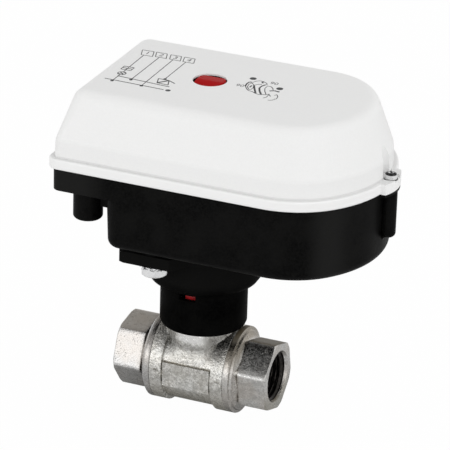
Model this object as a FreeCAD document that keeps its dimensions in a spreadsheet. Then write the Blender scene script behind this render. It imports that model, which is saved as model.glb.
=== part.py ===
import FreeCAD, Part
import math
import os
import re
import Sketcher

# Motorized ball valve: a nickel-plated brass valve with two screwed hexagon ends, a moulded adapter
# on its neck, and a geared electric actuator above it with a turning position indicator.
# Frame: origin at the middle of the inlet port's end face, +X along the pipe, +Z up the stem.
# The pieces are drawn about the stem axis, and each one's Placement moves it along the pipe.
# Cuts that open a face are drawn 1 mm past it.

sizeValues = {
    # Valve, measured from the stem axis along the pipe and from the pipe axis
    "port_reach": 34.5,
    "port_radius": 10.48,
    "port_depth": 13,
    "mouth_chamfer": 0.7,
    "mouth_chamfer_run": 0.5,
    "flow_radius": 7.5,
    "hex_width": 27.5,
    "hex_start": 22,
    "hex_face_radius": 14.9,
    "hex_chamfer_run": 0.8,
    "hex_core_inset": 0.2,
    "inlet_hex_turn": 51.8,
    "outlet_hex_turn": 42.3,
    "shoulder_reach": 21.6,
    "shoulder_radius": 14.4,
    "flange_reach": 19.4,
    "flange_radius": 18.9,
    "flange_edge": 0.5,
    "seam_reach": 16.6,
    "ring_reach": 11.3,
    "ring_bevel": 0.6,
    "barrel_radius": 17.3,
    "spigot_radius": 15.5,
    "spigot_end": 9.5,
    "seal_section": 1.2,
    "chamber_radius": 13.2,
    "ball_radius": 12.5,
    "ball_flat": 11.4,
    "ball_clearance": 0.05,
    "seat_front": 8.4,
    "seat_back": 12.2,
    "seat_radius": 12,
    "neck_radius": 15.5,
    "neck_top": 19.25,
    "bonnet_radius": 9,
    "bonnet_rise": 11.75,
    "panel_left": -10.6,
    "panel_right": 10.6,
    "panel_bottom": -5.8,
    "panel_top": 4.4,
    "panel_plane": 17.9,
    "mark_reach": 14.2,
    "mark_drop": -0.8,
    "mark_radius": 2.2,
    "mark_plane": 19.1,
    # Stem and coupling
    "stem_radius": 5,
    "stem_grip": 6.8,
    "stem_square": 7,
    "stem_square_drop": 2,
    "stem_flange_radius": 7.5,
    "stem_flange_bottom": 11.6,
    "stem_flange_height": 2.2,
    "washer_height": 0.6,
    "tang_width": 4.8,
    "tang_length": 14,
    "tang_bottom": 9.2,
    "running_clearance": 0.05,
    "slide_clearance": 0.1,
    "stem_ring_section": 0.9,
    "stem_groove_height": 1.45,
    "stem_ring_first": 18,
    "stem_ring_pitch": 5,
    "nut_width": 21,
    "nut_height": 7,
    "coupling_radius": 12,
    "coupling_gap": 3,
    "coupling_height": 14,
    "coupling_chamfer": 0.8,
    # Adapter between the valve's neck and the actuator
    "collar_radius": 18.4,
    "collar_floor": 4,
    "collar_edge_radius": 1.6,
    "collar_bore": 12.5,
    "collar_height": 19.25,
    "dome_radius": 24.9,
    "dome_bend": 7,
    "dome_bore": 21.5,
    "dome_floor": 9.5,
    "dome_cone_height": 5,
    "dome_height": 17.5,
    "flange_plate_height": 5,
    "flange_plate_radius": 28.6,
    "ear_left": -24.2,
    "ear_right": -0.8,
    "ear_front": -36.4,
    "ear_back": -18,
    "ear_corner": 3,
    "ear_bevel_width": 3.4,
    "ear_bevel_depth": 4.8,
    "ear_flare": 12,
    "corner_share": 0.3,
    "window_width": 7.3,
    "window_height": 3.2,
    "adapter_screw_x": -9.8,
    "adapter_screw_y": -30,
    "adapter_screw_radius": 2.4,
    "adapter_screw_depth": 12,
    "screw_head_width": 10,
    "screw_head_height": 4,
    "lock_washer_radius": 6.1,
    "lock_washer_height": 1.2,
    "screw_hole_clearance": 0.1,
    # Actuator outline: a D shape, flat at the -X end and rounded at the other
    "case_flat": -52.8,
    "case_tip": 80.2,
    "case_half_width": 44.5,
    "case_side_rise": 8.8,
    "case_end_bulge": 4.9,
    "case_corner": 5,
    "wall_corner": 3,
    "skirt_lap": 1.2,
    "skirt_height": 4.66,
    "skirt_wall": 2,
    "skirt_round": 0.9,
    "wall_inset": 1.9,
    "wall_flat_inset": 2,
    "wall_height": 7.44,
    "crease_inset": 2.4,
    "crease_flat_inset": 2.4,
    "crease_radius": 5,
    "slope_height": 20.1,
    "top_inset": 9.8,
    "top_flat_inset": 7.65,
    "top_corner": 6,
    "top_round": 5.5,
    "cover_wall": 2.2,
    "slope_wall": 2.35,
    "cover_screw_inset": 0.2,
    "cover_ear_reach": 3,
    "cover_ear_bow": 20,
    "cover_ear_turn": 26,
    "cover_ear_root": 6,
    "channel_radius": 4.2,
    "channel_wall": 2,
    "channel_depth": 0.86,
    "cover_screw_radius": 1.5,
    "cover_screw_length": 12,
    "cover_head_radius": 2.6,
    "cover_head_height": 2,
    "indicator_hole_radius": 7.15,
    # Base housing
    "rim_rise": 6.2,
    "base_top_inset": 2.1,
    "base_gap": 2.3,
    "base_bottom_inset": 2.3,
    "base_wall": 2.2,
    "base_floor": 2.7,
    "base_bend": 4,
    "deep_flat": -28.4,
    "deep_flat_draft": 0.9,
    "deep_corner": 6,
    "shallow_depth": 11.1,
    "shallow_overlap": 4,
    "shallow_flat": -51.4,
    "shallow_corner": 4,
    "shallow_floor": 2.5,
    "pad_radius": 24.5,
    "cable_boss_x": -41,
    "cable_boss_inset": 16.5,
    "cable_boss_radius": 6.2,
    "cable_boss_length": 15.7,
    "cable_boss_round": 1.5,
    "cable_hole_radius": 4.4,
    "cable_radius": 2.8,
    "grommet_lip": 1.4,
    "rib_thickness": 2.4,
    "rib_depth": 9.5,
    "column_radius": 3.1,
    "column_length": 21.6,
    "column_round": 2.2,
    "post_radius": 4,
    "post_left": -12,
    "post_right": 58,
    "post_spread": 27,
    "axle_boss_radius": 4,
    "axle_boss_height": 2.5,
    "compound_hub_radius": 3,
    "gasket_height": 1.2,
    "gasket_inset": 0.2,
    # Gear train and motor
    "shaft_radius": 6,
    "shaft_gap": 0.4,
    "indicator_grip": 6,
    "shaft_square": 8,
    "shaft_square_rise": 8,
    "shaft_hub_radius": 9,
    "bush_radius": 8,
    "bush_height": 3.5,
    "bush_flange_radius": 10,
    "bush_flange_height": 1,
    "bush_boss_radius": 12,
    "bush_boss_height": 2,
    "plate_gap": 4,
    "plate_height": 2,
    "plate_left": -20,
    "plate_right": 66,
    "plate_half_width": 32,
    "plate_corner": 6,
    "plate_screw_radius": 1.5,
    "plate_screw_length": 12,
    "plate_head_radius": 2.8,
    "plate_head_height": 2,
    "axle_radius": 1.5,
    "axle_depth": 2,
    "backlash": 0.2,
    "pressure_angle": 20,
    "tooth_addendum": 0.8,
    "tooth_dedendum": 1.15,
    "output_teeth": 48,
    "pinion_teeth": 12,
    "wheel_teeth": 42,
    "output_module": 0.85,
    "second_module": 0.7,
    "first_module": 0.6,
    "shaft_end_play": 0.6,
    "output_gear_height": 7,
    "wheel_gap": 1.8,
    "wheel_height": 3,
    "wheel_step": 1.6,
    "gear_gap": 0.4,
    "mesh_turn_second": -35,
    "mesh_turn_first": 50,
    "mesh_turn_motor": 15,
    "motor_radius": 18,
    "motor_height": 18,
    "motor_round": 1.5,
    "motor_ear_reach": 22.5,
    "motor_ear_radius": 4.9,
    "motor_ear_height": 1.5,
    "motor_collar_radius": 5,
    "motor_collar_height": 1.2,
    "motor_shaft_radius": 1.5,
    "rotor_shaft_rise": 1.5,
    # Electronics and position parts
    "cam_radius": 10,
    "cam_drop": 1,
    "cam_height": 7,
    "magnet_radius": 1.5,
    "magnet_height": 3,
    "magnet_inset": 0.3,
    "board_left": -47,
    "board_right": -11.2,
    "board_half_width": 35,
    "board_drop": 0.6,
    "board_height": 1.6,
    "board_post_x": -43,
    "board_post_y": 17,
    "board_post_radius": 2.6,
    "standoff_x": -16.5,
    "standoff_y": 13,
    "standoff_radius": 2,
    "board_screw_radius": 1,
    "board_head_radius": 2,
    "board_head_height": 1.2,
    "board_screw_length": 5,
    "terminal_left": -44.5,
    "terminal_width": 8,
    "terminal_front": -14,
    "terminal_length": 28,
    "terminal_height": 8,
    "terminal_pitch": 5,
    "terminal_well_radius": 1.8,
    "terminal_well_depth": 3,
    "relay_left": -33,
    "relay_front": 6,
    "relay_width": 10,
    "relay_length": 19,
    "relay_height": 13,
    "capacitor_x": -28,
    "capacitor_y": -14,
    "capacitor_radius": 5,
    "capacitor_height": 12,
    "capacitor_bevel": 0.6,
    "sensor_width": 3,
    "sensor_length": 4,
    "sensor_height": 3,
    "sensor_spread": 6,
    "sensor_gap": 0.3,
    "indicator_radius": 6.8,
    "indicator_thickness": 3.9,
    "ridge_height": 1.8,
    "indicator_recess": 0.4,
    "ridge_length": 11,
    "ridge_top_width": 3,
    "ridge_base_width": 7,
    "indicator_sleeve_radius": 5,
    "indicator_sleeve_length": 15.5,
    "indicator_pin_radius": 3.4,
    "lip_radius": 8.6,
    "lip_height": 1.2,
}

# Heights and radii that follow from the sizes above, so that each piece stands on the one below it
stackedSizes = {
    "bonnet_top": "neck_top + bonnet_rise",
    "dome_start": "neck_top + collar_height",
    "window_bottom": "dome_start - window_height",
    "dome_bore_bottom": "dome_start + dome_floor",
    "flange_plate_bottom": "dome_start + dome_height",
    "flange_plate_top": "flange_plate_bottom + flange_plate_height",
    "coupling_bottom": "bonnet_top + coupling_gap",
    "coupling_top": "coupling_bottom + coupling_height",
    "stem_square_start": "coupling_bottom - stem_square_drop",
    "stem_top": "coupling_bottom + stem_grip",
    "shaft_bottom": "stem_top + shaft_gap",
    "shaft_square_top": "coupling_top + shaft_square_rise",
    "base_bottom": "flange_plate_top + base_gap",
    "bush_boss_top": "base_bottom + base_floor + bush_boss_height",
    "output_gear_bottom": "bush_boss_top + bush_flange_height + shaft_end_play",
    "second_wheel_bottom": "output_gear_bottom + output_gear_height + wheel_gap",
    "first_wheel_bottom": "second_wheel_bottom + wheel_height + wheel_step",
    "plate_bottom": "first_wheel_bottom + wheel_height + plate_gap",
    "base_rim": "plate_bottom + rim_rise",
    "board_bottom": "base_rim - board_drop",
    "cam_bottom": "board_bottom - cam_drop",
    "shallow_bottom": "base_rim - shallow_depth",
    "cable_boss_bottom": "shallow_bottom - cable_boss_length",
    "cable_boss_y": "cable_boss_inset - case_half_width",
    "rib_bottom": "shallow_bottom - rib_depth",
    "skirt_bottom": "base_rim - skirt_lap",
    "skirt_top": "skirt_bottom + skirt_height",
    "column_bottom": "skirt_bottom - column_length",
    "channel_floor": "skirt_top - channel_depth",
    "crease_height": "skirt_top + wall_height",
    "cover_top": "crease_height + slope_height",
    "indicator_top": "cover_top - indicator_recess",
    "indicator_face": "indicator_top - ridge_height",
    "indicator_bottom": "indicator_face - indicator_thickness",
    "indicator_sleeve_bottom": "indicator_bottom - indicator_sleeve_length",
    "shaft_top": "indicator_sleeve_bottom + indicator_grip",
    "case_side_radius": "case_half_width - case_side_rise",
    "case_end_radius": "case_half_width + case_end_bulge",
}

document = FreeCAD.newDocument("MotorizedBallValve")
sheet = document.addObject("Spreadsheet::Sheet", "Sizes")
for row, (alias, value) in enumerate(sizeValues.items(), start=1):
    sheet.set("A%d" % row, alias)
    sheet.set("B%d" % row, str(value))
    sheet.setAlias("B%d" % row, alias)
document.recompute()

parts = []


def linked(text):
    """Put the sheet's name before each of its aliases in an expression, with stacked sizes worked out."""

    def link(found):
        name = found.group()
        if name in stackedSizes:
            return "(%s)" % linked(stackedSizes[name])
        return "Sizes." + name

    return re.sub(r"[a-z]+(?:_[a-z]+)+", link, str(text))


def sizeOf(text):
    """The number that an expression gives with the sheet's present values."""
    result = sheet.evalExpression(linked(text))
    return float(getattr(result, "Value", result))


def place(item, turn=0):
    """Move a piece from the stem axis to the part's frame, turned about the stem axis."""
    item.Placement = FreeCAD.Placement(
        FreeCAD.Vector(sizeOf("port_reach"), 0, 0), FreeCAD.Rotation(FreeCAD.Vector(0, 0, 1), turn))
    item.setExpression("Placement.Base.x", linked("port_reach"))


def newBody(name, turn=0):
    body = document.addObject("PartDesign::Body", name)
    body.Label = name
    place(body, turn)
    return body


def newSketch(body, name, role, lift="0"):
    """A sketch on one of the body's own origin planes, lifted along that plane's normal."""
    sketch = body.newObject("Sketcher::SketchObject", name)
    plane = next(item for item in body.Origin.OriginFeatures if item.Role == role)
    sketch.AttachmentSupport = (plane, "")
    sketch.MapMode = "FlatFace"
    sketch.setExpression("AttachmentOffset.Base.z", linked(lift))
    return sketch


def tie(sketch, kind, element, point, text):
    """Bind the distance from the sketch's origin to a point of an element to an expression."""
    number = sketch.addConstraint(Sketcher.Constraint(kind, -1, 1, element, point, sizeOf(text)))
    sketch.setExpression("Constraints[%d]" % number, linked(text))


def tieRadius(sketch, element, text):
    number = sketch.addConstraint(Sketcher.Constraint("Radius", element, sizeOf(text)))
    sketch.setExpression("Constraints[%d]" % number, linked(text))


def addProfile(sketch, corners):
    """A closed outline of straight lines through corners given as pairs of expressions."""
    first = sketch.GeometryCount
    spots = [FreeCAD.Vector(sizeOf(across), sizeOf(up), 0) for across, up in corners]
    for start, end in zip(spots, spots[1:] + spots[:1]):
        sketch.addGeometry(Part.LineSegment(start, end))
    for index, (across, up) in enumerate(corners):
        following = first + (index + 1) % len(corners)
        sketch.addConstraint(Sketcher.Constraint("Coincident", first + index, 2, following, 1))
        tie(sketch, "DistanceX", first + index, 1, across)
        tie(sketch, "DistanceY", first + index, 1, up)


def addCircle(sketch, radius, across="0", up="0"):
    centre = FreeCAD.Vector(sizeOf(across), sizeOf(up), 0)
    circle = sketch.addGeometry(Part.Circle(centre, FreeCAD.Vector(0, 0, 1), sizeOf(radius)))
    tie(sketch, "DistanceX", circle, 3, across)
    tie(sketch, "DistanceY", circle, 3, up)
    tieRadius(sketch, circle, radius)


def addRectangle(sketch, left, right, bottom, top):
    addProfile(sketch, [(left, bottom), (right, bottom), (right, top), (left, top)])


def addRegular(sketch, width, count=6, turn="0"):
    """A regular polygon by its width across flats, with a corner at the given turn."""
    step = 360 / count
    corners = []
    for index in range(count):
        angle = "(%s + %s)" % (turn, index * step)
        reach = "%s / 2 / cos(%s)" % (width, step / 2)
        corners.append(("%s * cos(%s)" % (reach, angle), "%s * sin(%s)" % (reach, angle)))
    addProfile(sketch, corners)


def addArc(sketch, centre, radius, start, end):
    circle = Part.Circle(FreeCAD.Vector(*centre, 0), FreeCAD.Vector(0, 0, 1), radius)
    return sketch.addGeometry(Part.ArcOfCircle(circle, start, end))


def addCaseOutline(sketch, inset, flat, corner):
    """The actuator's D outline, set in from the skirt, with tangent arcs at its round end."""
    halfWidth = sizeOf("case_half_width - (%s)" % inset)
    sideRadius = sizeOf("case_side_radius - (%s)" % inset)
    endRadius = sizeOf("case_end_radius - (%s)" % inset)
    endCentre = sizeOf("case_tip - case_end_radius")
    flatX = sizeOf(flat)
    bend = sizeOf(corner)
    rise = halfWidth - sideRadius
    sideCentre = endCentre + math.sqrt((endRadius - sideRadius) ** 2 - rise ** 2)
    meeting = math.atan2(rise, sideCentre - endCentre)
    quarter = math.pi / 2
    lines = [
        ((flatX, halfWidth - bend), (flatX, bend - halfWidth)),
        ((flatX + bend, -halfWidth), (sideCentre, -halfWidth)),
        ((sideCentre, halfWidth), (flatX + bend, halfWidth)),
    ]
    edges = [Part.LineSegment(FreeCAD.Vector(*start, 0), FreeCAD.Vector(*end, 0)) for start, end in lines]
    flatLine = sketch.addGeometry(edges[0])
    nearCorner = addArc(sketch, (flatX + bend, bend - halfWidth), bend, math.pi, 3 * quarter)
    nearLine = sketch.addGeometry(edges[1])
    nearArc = addArc(sketch, (sideCentre, -rise), sideRadius, 3 * quarter, 4 * quarter - meeting)
    endArc = addArc(sketch, (endCentre, 0), endRadius, -meeting, meeting)
    farArc = addArc(sketch, (sideCentre, rise), sideRadius, meeting, quarter)
    farLine = sketch.addGeometry(edges[2])
    farCorner = addArc(sketch, (flatX + bend, halfWidth - bend), bend, quarter, math.pi)
    ring = [flatLine, nearCorner, nearLine, nearArc, endArc, farArc, farLine, farCorner]
    for element, following in zip(ring, ring[1:] + ring[:1]):
        sketch.addConstraint(Sketcher.Constraint("Tangent", element, 2, following, 1))
    sketch.addConstraint(Sketcher.Constraint("Vertical", flatLine))
    sketch.addConstraint(Sketcher.Constraint("Horizontal", nearLine))
    sketch.addConstraint(Sketcher.Constraint("Horizontal", farLine))
    sketch.addConstraint(Sketcher.Constraint("PointOnObject", endArc, 3, -1))
    tie(sketch, "DistanceX", flatLine, 1, flat)
    tie(sketch, "DistanceX", endArc, 3, "case_tip - case_end_radius")
    tie(sketch, "DistanceY", nearLine, 1, "-(case_half_width - (%s))" % inset)
    tie(sketch, "DistanceY", farLine, 1, "case_half_width - (%s)" % inset)
    tieRadius(sketch, nearCorner, corner)
    tieRadius(sketch, farCorner, corner)
    tieRadius(sketch, nearArc, "case_side_radius - (%s)" % inset)
    tieRadius(sketch, farArc, "case_side_radius - (%s)" % inset)
    tieRadius(sketch, endArc, "case_end_radius - (%s)" % inset)


def extrude(body, kind, sketch, length, backwards=False):
    feature = body.newObject("PartDesign::" + kind, sketch.Name + kind)
    feature.Profile = sketch
    feature.Length = sizeOf(length)
    feature.setExpression("Length", linked(length))
    feature.Reversed = backwards
    return feature


def spin(body, kind, sketch, axis):
    feature = body.newObject("PartDesign::" + kind, sketch.Name + kind)
    feature.Profile = sketch
    feature.ReferenceAxis = (sketch, [axis])
    feature.Angle = 360
    return feature


def upright(body, kind, name, bottom, top, draw):
    """A pad or pocket between two heights, from a sketch that draw fills in."""
    sketch = newSketch(body, name, "XY_Plane", bottom if kind == "Pad" else top)
    draw(sketch)
    return extrude(body, kind, sketch, "(%s) - (%s)" % (top, bottom))


def turned(body, kind, name, corners, axis="V_Axis"):
    """A revolved solid or groove about the stem (V_Axis) or the pipe (H_Axis)."""
    sketch = newSketch(body, name, "XZ_Plane")
    addProfile(sketch, corners)
    return spin(body, kind, sketch, axis)


def tube(name, inner, outer, bottom, top, across="0", up="0"):
    body = newBody(name)

    def draw(sketch):
        addCircle(sketch, outer, across, up)
        addCircle(sketch, inner, across, up)

    upright(body, "Pad", name + "_ring", bottom, top, draw)
    return body


def keep(item):
    parts.append(item)
    return item


def edgesAt(feature, test):
    """Names of the feature's edges whose every point passes the test."""
    document.recompute()
    names = []
    for number, edge in enumerate(feature.Shape.Edges, start=1):
        ends = [edge.valueAt(edge.FirstParameter + share * (edge.LastParameter - edge.FirstParameter))
                for share in (0, 0.5, 1)]
        if all(test(spot) for spot in ends):
            names.append("Edge%d" % number)
    return names


def roundEdges(body, feature, radius, test):
    fillet = body.newObject("PartDesign::Fillet", feature.Name + "Round")
    fillet.Base = (feature, edgesAt(feature, test))
    fillet.Radius = sizeOf(radius)
    fillet.setExpression("Radius", linked(radius))
    return fillet


def bevelEdges(body, feature, size, test):
    chamfer = body.newObject("PartDesign::Chamfer", feature.Name + "Bevel")
    chamfer.Base = (feature, edgesAt(feature, test))
    chamfer.Size = sizeOf(size)
    chamfer.setExpression("Size", linked(size))
    return chamfer


def atHeight(height):
    level = sizeOf(height)
    return lambda spot: abs(spot.z - level) < 0.001


def loft(body, kind, name, sections):
    """A ruled loft through case outlines, each given as height, inset, flat end and corner radius."""
    sketches = []
    for number, (height, inset, flat, corner) in enumerate(sections):
        sketch = newSketch(body, "%s_section_%d" % (name, number), "XY_Plane", height)
        addCaseOutline(sketch, inset, flat, corner)
        sketches.append(sketch)
    feature = body.newObject("PartDesign::" + kind, name)
    feature.Profile = sketches[0]
    feature.Sections = sketches[1:]
    feature.Ruled = True
    return feature


def subtract(name, base, tools):
    """A named sub-part: one body with others cut out of it."""
    cut = document.addObject("Part::Cut", name)
    cut.Label = name
    cut.Base = base
    if len(tools) == 1:
        cut.Tool = tools[0]
        return cut
    joined = document.addObject("Part::MultiFuse", name + "Tools")
    joined.Shapes = tools
    cut.Tool = joined
    return cut


# Valve
def buildValveBody():
    body = newBody("valve_body")
    ring = "flange_radius"
    turned(body, "Revolution", "barrel", [
        ("-seam_reach", "0"), ("-seam_reach", ring), ("-ring_reach", ring),
        ("-ring_reach + ring_bevel", "barrel_radius"), ("ring_reach - ring_bevel", "barrel_radius"),
        ("ring_reach", ring), ("seam_reach", ring), ("seam_reach", "0")], "H_Axis")
    panel = newSketch(body, "panel", "XZ_Plane")
    addRectangle(panel, "panel_left", "panel_right", "panel_bottom", "panel_top")
    extrude(body, "Pad", panel, "panel_plane")
    marks = newSketch(body, "marks", "XZ_Plane")
    addCircle(marks, "mark_radius", "-mark_reach", "mark_drop")
    addCircle(marks, "mark_radius", "mark_reach", "mark_drop")
    extrude(body, "Pad", marks, "mark_plane")
    turned(body, "Revolution", "neck", [
        ("0", "0"), ("neck_radius", "0"), ("neck_radius", "neck_top"), ("bonnet_radius", "neck_top"),
        ("bonnet_radius", "bonnet_top"), ("0", "bonnet_top")])
    turned(body, "Groove", "chamber", [
        ("-seam_reach - 1", "0"), ("-seam_reach - 1", "spigot_radius + seal_section"),
        ("-seam_reach + seal_section", "spigot_radius + seal_section"),
        ("-seam_reach + seal_section", "spigot_radius"), ("-spigot_end", "spigot_radius"),
        ("-spigot_end", "chamber_radius"), ("spigot_end", "chamber_radius"),
        ("spigot_end", "spigot_radius"), ("seam_reach - seal_section", "spigot_radius"),
        ("seam_reach - seal_section", "spigot_radius + seal_section"),
        ("seam_reach + 1", "spigot_radius + seal_section"), ("seam_reach + 1", "0")], "H_Axis")
    flangeTop = "stem_flange_bottom + stem_flange_height + washer_height"
    turned(body, "Groove", "stem_bore", [
        ("0", "0"), ("stem_flange_radius + slide_clearance", "0"),
        ("stem_flange_radius + slide_clearance", flangeTop), ("stem_radius + running_clearance", flangeTop),
        ("stem_radius + running_clearance", "bonnet_top + 1"), ("0", "bonnet_top + 1")])
    return keep(body)


def buildConnector(name, hexTurn, turn):
    """A screwed pipe end: spigot, flange, shoulder and hexagon, drawn at +X."""
    body = newBody(name, turn)
    core = "hex_width / 2 - hex_core_inset"
    turned(body, "Revolution", name + "_core", [
        ("spigot_end", "0"), ("spigot_end", "spigot_radius"), ("seam_reach", "spigot_radius"),
        ("seam_reach", "flange_radius"), ("flange_reach - flange_edge", "flange_radius"),
        ("flange_reach", "flange_radius - flange_edge"), ("shoulder_reach", "shoulder_radius"),
        ("hex_start", core), ("port_reach", core), ("port_reach", "0")], "H_Axis")
    hexagon = newSketch(body, name + "_hex", "YZ_Plane", "hex_start")
    addRegular(hexagon, "hex_width", 6, hexTurn)
    extrude(body, "Pad", hexagon, "port_reach - hex_start")
    turned(body, "Groove", name + "_face_chamfer", [
        ("port_reach", "hex_face_radius"), ("port_reach", "hex_width"),
        ("port_reach - hex_chamfer_run * 2", "hex_width"),
        ("port_reach - hex_chamfer_run", "hex_width / 2 / cos(30)")], "H_Axis")
    turned(body, "Groove", name + "_bore", [
        ("spigot_end - 1", "0"), ("spigot_end - 1", "seat_radius"), ("seat_back", "seat_radius"),
        ("seat_back", "flow_radius"), ("port_reach - port_depth", "flow_radius"),
        ("port_reach - port_depth", "port_radius"), ("port_reach - mouth_chamfer_run", "port_radius"),
        ("port_reach", "port_radius + mouth_chamfer"), ("port_reach + 1", "port_radius + mouth_chamfer"),
        ("port_reach + 1", "0")], "H_Axis")
    return keep(body)


def buildSeat(name, turn):
    """A seat ring with a spherical face for the ball."""
    body = newBody(name + "_blank", turn)
    turned(body, "Revolution", name + "_ring", [
        ("seat_front", "flow_radius"), ("seat_back", "flow_radius"), ("seat_back", "seat_radius"),
        ("seat_front", "seat_radius")], "H_Axis")
    ballSpace = document.addObject("Part::Sphere", name + "_ball_space")
    ballSpace.setExpression("Radius", linked("ball_radius + ball_clearance"))
    place(ballSpace)
    return keep(subtract(name, body, [ballSpace]))


def buildSeal(name, turn):
    """The rubber ring between the valve body and a screwed end."""
    body = newBody(name, turn)
    turned(body, "Revolution", name + "_ring", [
        ("seam_reach - seal_section", "spigot_radius"), ("seam_reach", "spigot_radius"),
        ("seam_reach", "spigot_radius + seal_section"),
        ("seam_reach - seal_section", "spigot_radius + seal_section")], "H_Axis")
    return keep(body)


def buildBall():
    """The bored ball, flat on top, with the slot that the stem's tang turns."""
    body = newBody("ball")
    sphere = newSketch(body, "ball_half", "XZ_Plane")
    radius = sizeOf("ball_radius")
    arc = addArc(sphere, (0, 0), radius, -math.pi / 2, math.pi / 2)
    line = sphere.addGeometry(Part.LineSegment(FreeCAD.Vector(0, radius, 0), FreeCAD.Vector(0, -radius, 0)))
    sphere.addConstraint(Sketcher.Constraint("Coincident", arc, 2, line, 1))
    sphere.addConstraint(Sketcher.Constraint("Coincident", line, 2, arc, 1))
    sphere.addConstraint(Sketcher.Constraint("Coincident", arc, 3, -1, 1))
    sphere.addConstraint(Sketcher.Constraint("PointOnObject", line, 1, -2))
    sphere.addConstraint(Sketcher.Constraint("PointOnObject", line, 2, -2))
    tieRadius(sphere, arc, "ball_radius")
    spin(body, "Revolution", sphere, "V_Axis")
    bore = newSketch(body, "ball_bore", "YZ_Plane", "-ball_radius - 1")
    addCircle(bore, "flow_radius")
    extrude(body, "Pocket", bore, "ball_radius * 2 + 2", True)
    upright(body, "Pocket", "ball_top", "ball_flat", "ball_radius + 1",
            lambda sketch: addCircle(sketch, "ball_radius"))
    half = "(tang_width / 2 + slide_clearance)"
    upright(body, "Pocket", "ball_slot", "tang_bottom - slide_clearance", "ball_radius + 1",
            lambda sketch: addRectangle(sketch, "-" + half, half, "-ball_radius", "ball_radius"))
    return keep(body)


def buildStem():
    """The blow-out proof stem: tang, flange, shaft and square top."""
    body = newBody("valve_stem")
    flangeTop = "stem_flange_bottom + stem_flange_height"
    turned(body, "Revolution", "stem_turning", [
        ("0", "stem_flange_bottom"), ("stem_flange_radius", "stem_flange_bottom"),
        ("stem_flange_radius", flangeTop), ("stem_radius", flangeTop),
        ("stem_radius", "stem_square_start"), ("0", "stem_square_start")])
    upright(body, "Pad", "tang", "tang_bottom", "stem_flange_bottom",
            lambda sketch: addRectangle(sketch, "-tang_width / 2", "tang_width / 2",
                                        "-tang_length / 2", "tang_length / 2"))
    upright(body, "Pad", "stem_square_top", "stem_square_start", "stem_top",
            lambda sketch: addRegular(sketch, "stem_square", 4, "45"))
    for number in range(2):
        level = "stem_ring_first + stem_ring_pitch * %d" % number
        turned(body, "Groove", "ring_groove_%d" % number, [
            ("stem_radius - stem_ring_section", level), ("stem_radius + 1", level),
            ("stem_radius + 1", level + " + stem_groove_height"),
            ("stem_radius - stem_ring_section", level + " + stem_groove_height")])
    return keep(body)


def buildStemRings():
    rings = document.addObject("Part::Compound", "stem_seal_rings")
    rings.Label = "stem_seal_rings"
    pieces = []
    for number in range(2):
        level = "stem_ring_first + stem_ring_pitch * %d" % number
        ring = tube("stem_ring_%d" % number, "stem_radius - stem_ring_section", "stem_radius",
                    level, level + " + stem_groove_height")
        pieces.append(ring)
    rings.Links = pieces
    return keep(rings)


def buildGlandNut():
    body = newBody("gland_nut")
    floor = "neck_top + collar_floor"

    def draw(sketch):
        addRegular(sketch, "nut_width")
        addCircle(sketch, "bonnet_radius")

    upright(body, "Pad", "nut_prism", floor, floor + " + nut_height", draw)
    turned(body, "Groove", "nut_corner", [
        ("nut_width / 2", floor + " + nut_height"), ("nut_width", floor + " + nut_height"),
        ("nut_width", floor + " + nut_height - nut_width / 2 * tan(30)")])
    return keep(body)


def buildCoupling():
    """The driving sleeve that joins the actuator's output shaft to the valve's stem."""
    body = newBody("drive_coupling")
    turned(body, "Revolution", "coupling_turning", [
        ("0", "coupling_bottom"), ("coupling_radius - coupling_chamfer", "coupling_bottom"),
        ("coupling_radius", "coupling_bottom + coupling_chamfer"),
        ("coupling_radius", "coupling_top - coupling_chamfer"),
        ("coupling_radius - coupling_chamfer", "coupling_top"), ("0", "coupling_top")])
    upright(body, "Pocket", "stem_socket", "coupling_bottom - 1", "stem_top + slide_clearance",
            lambda sketch: addRegular(sketch, "(stem_square + slide_clearance)", 4, "45"))
    upright(body, "Pocket", "shaft_socket", "shaft_bottom - slide_clearance", "coupling_top + 1",
            lambda sketch: addRegular(sketch, "(shaft_square + slide_clearance)", 4, "45"))
    return keep(body)


# Adapter
def drawEar(sketch, sign):
    """One screw ear of the adapter's top plate, with its outer corner bevelled towards the dome."""
    def point(across, up):
        return ("%s * (%s)" % (sign, across), "%s * (%s)" % (sign, up))

    addProfile(sketch, [
        point("ear_left + ear_corner * corner_share", "ear_front + ear_corner * corner_share"),
        point("ear_left + ear_corner", "ear_front"),
        point("ear_right", "ear_front"),
        point("ear_right + ear_bevel_width", "ear_front + ear_bevel_depth"),
        point("ear_right + ear_flare", "ear_back"),
        point("ear_left", "ear_back"),
        point("ear_left", "ear_front + ear_corner")])


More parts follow.
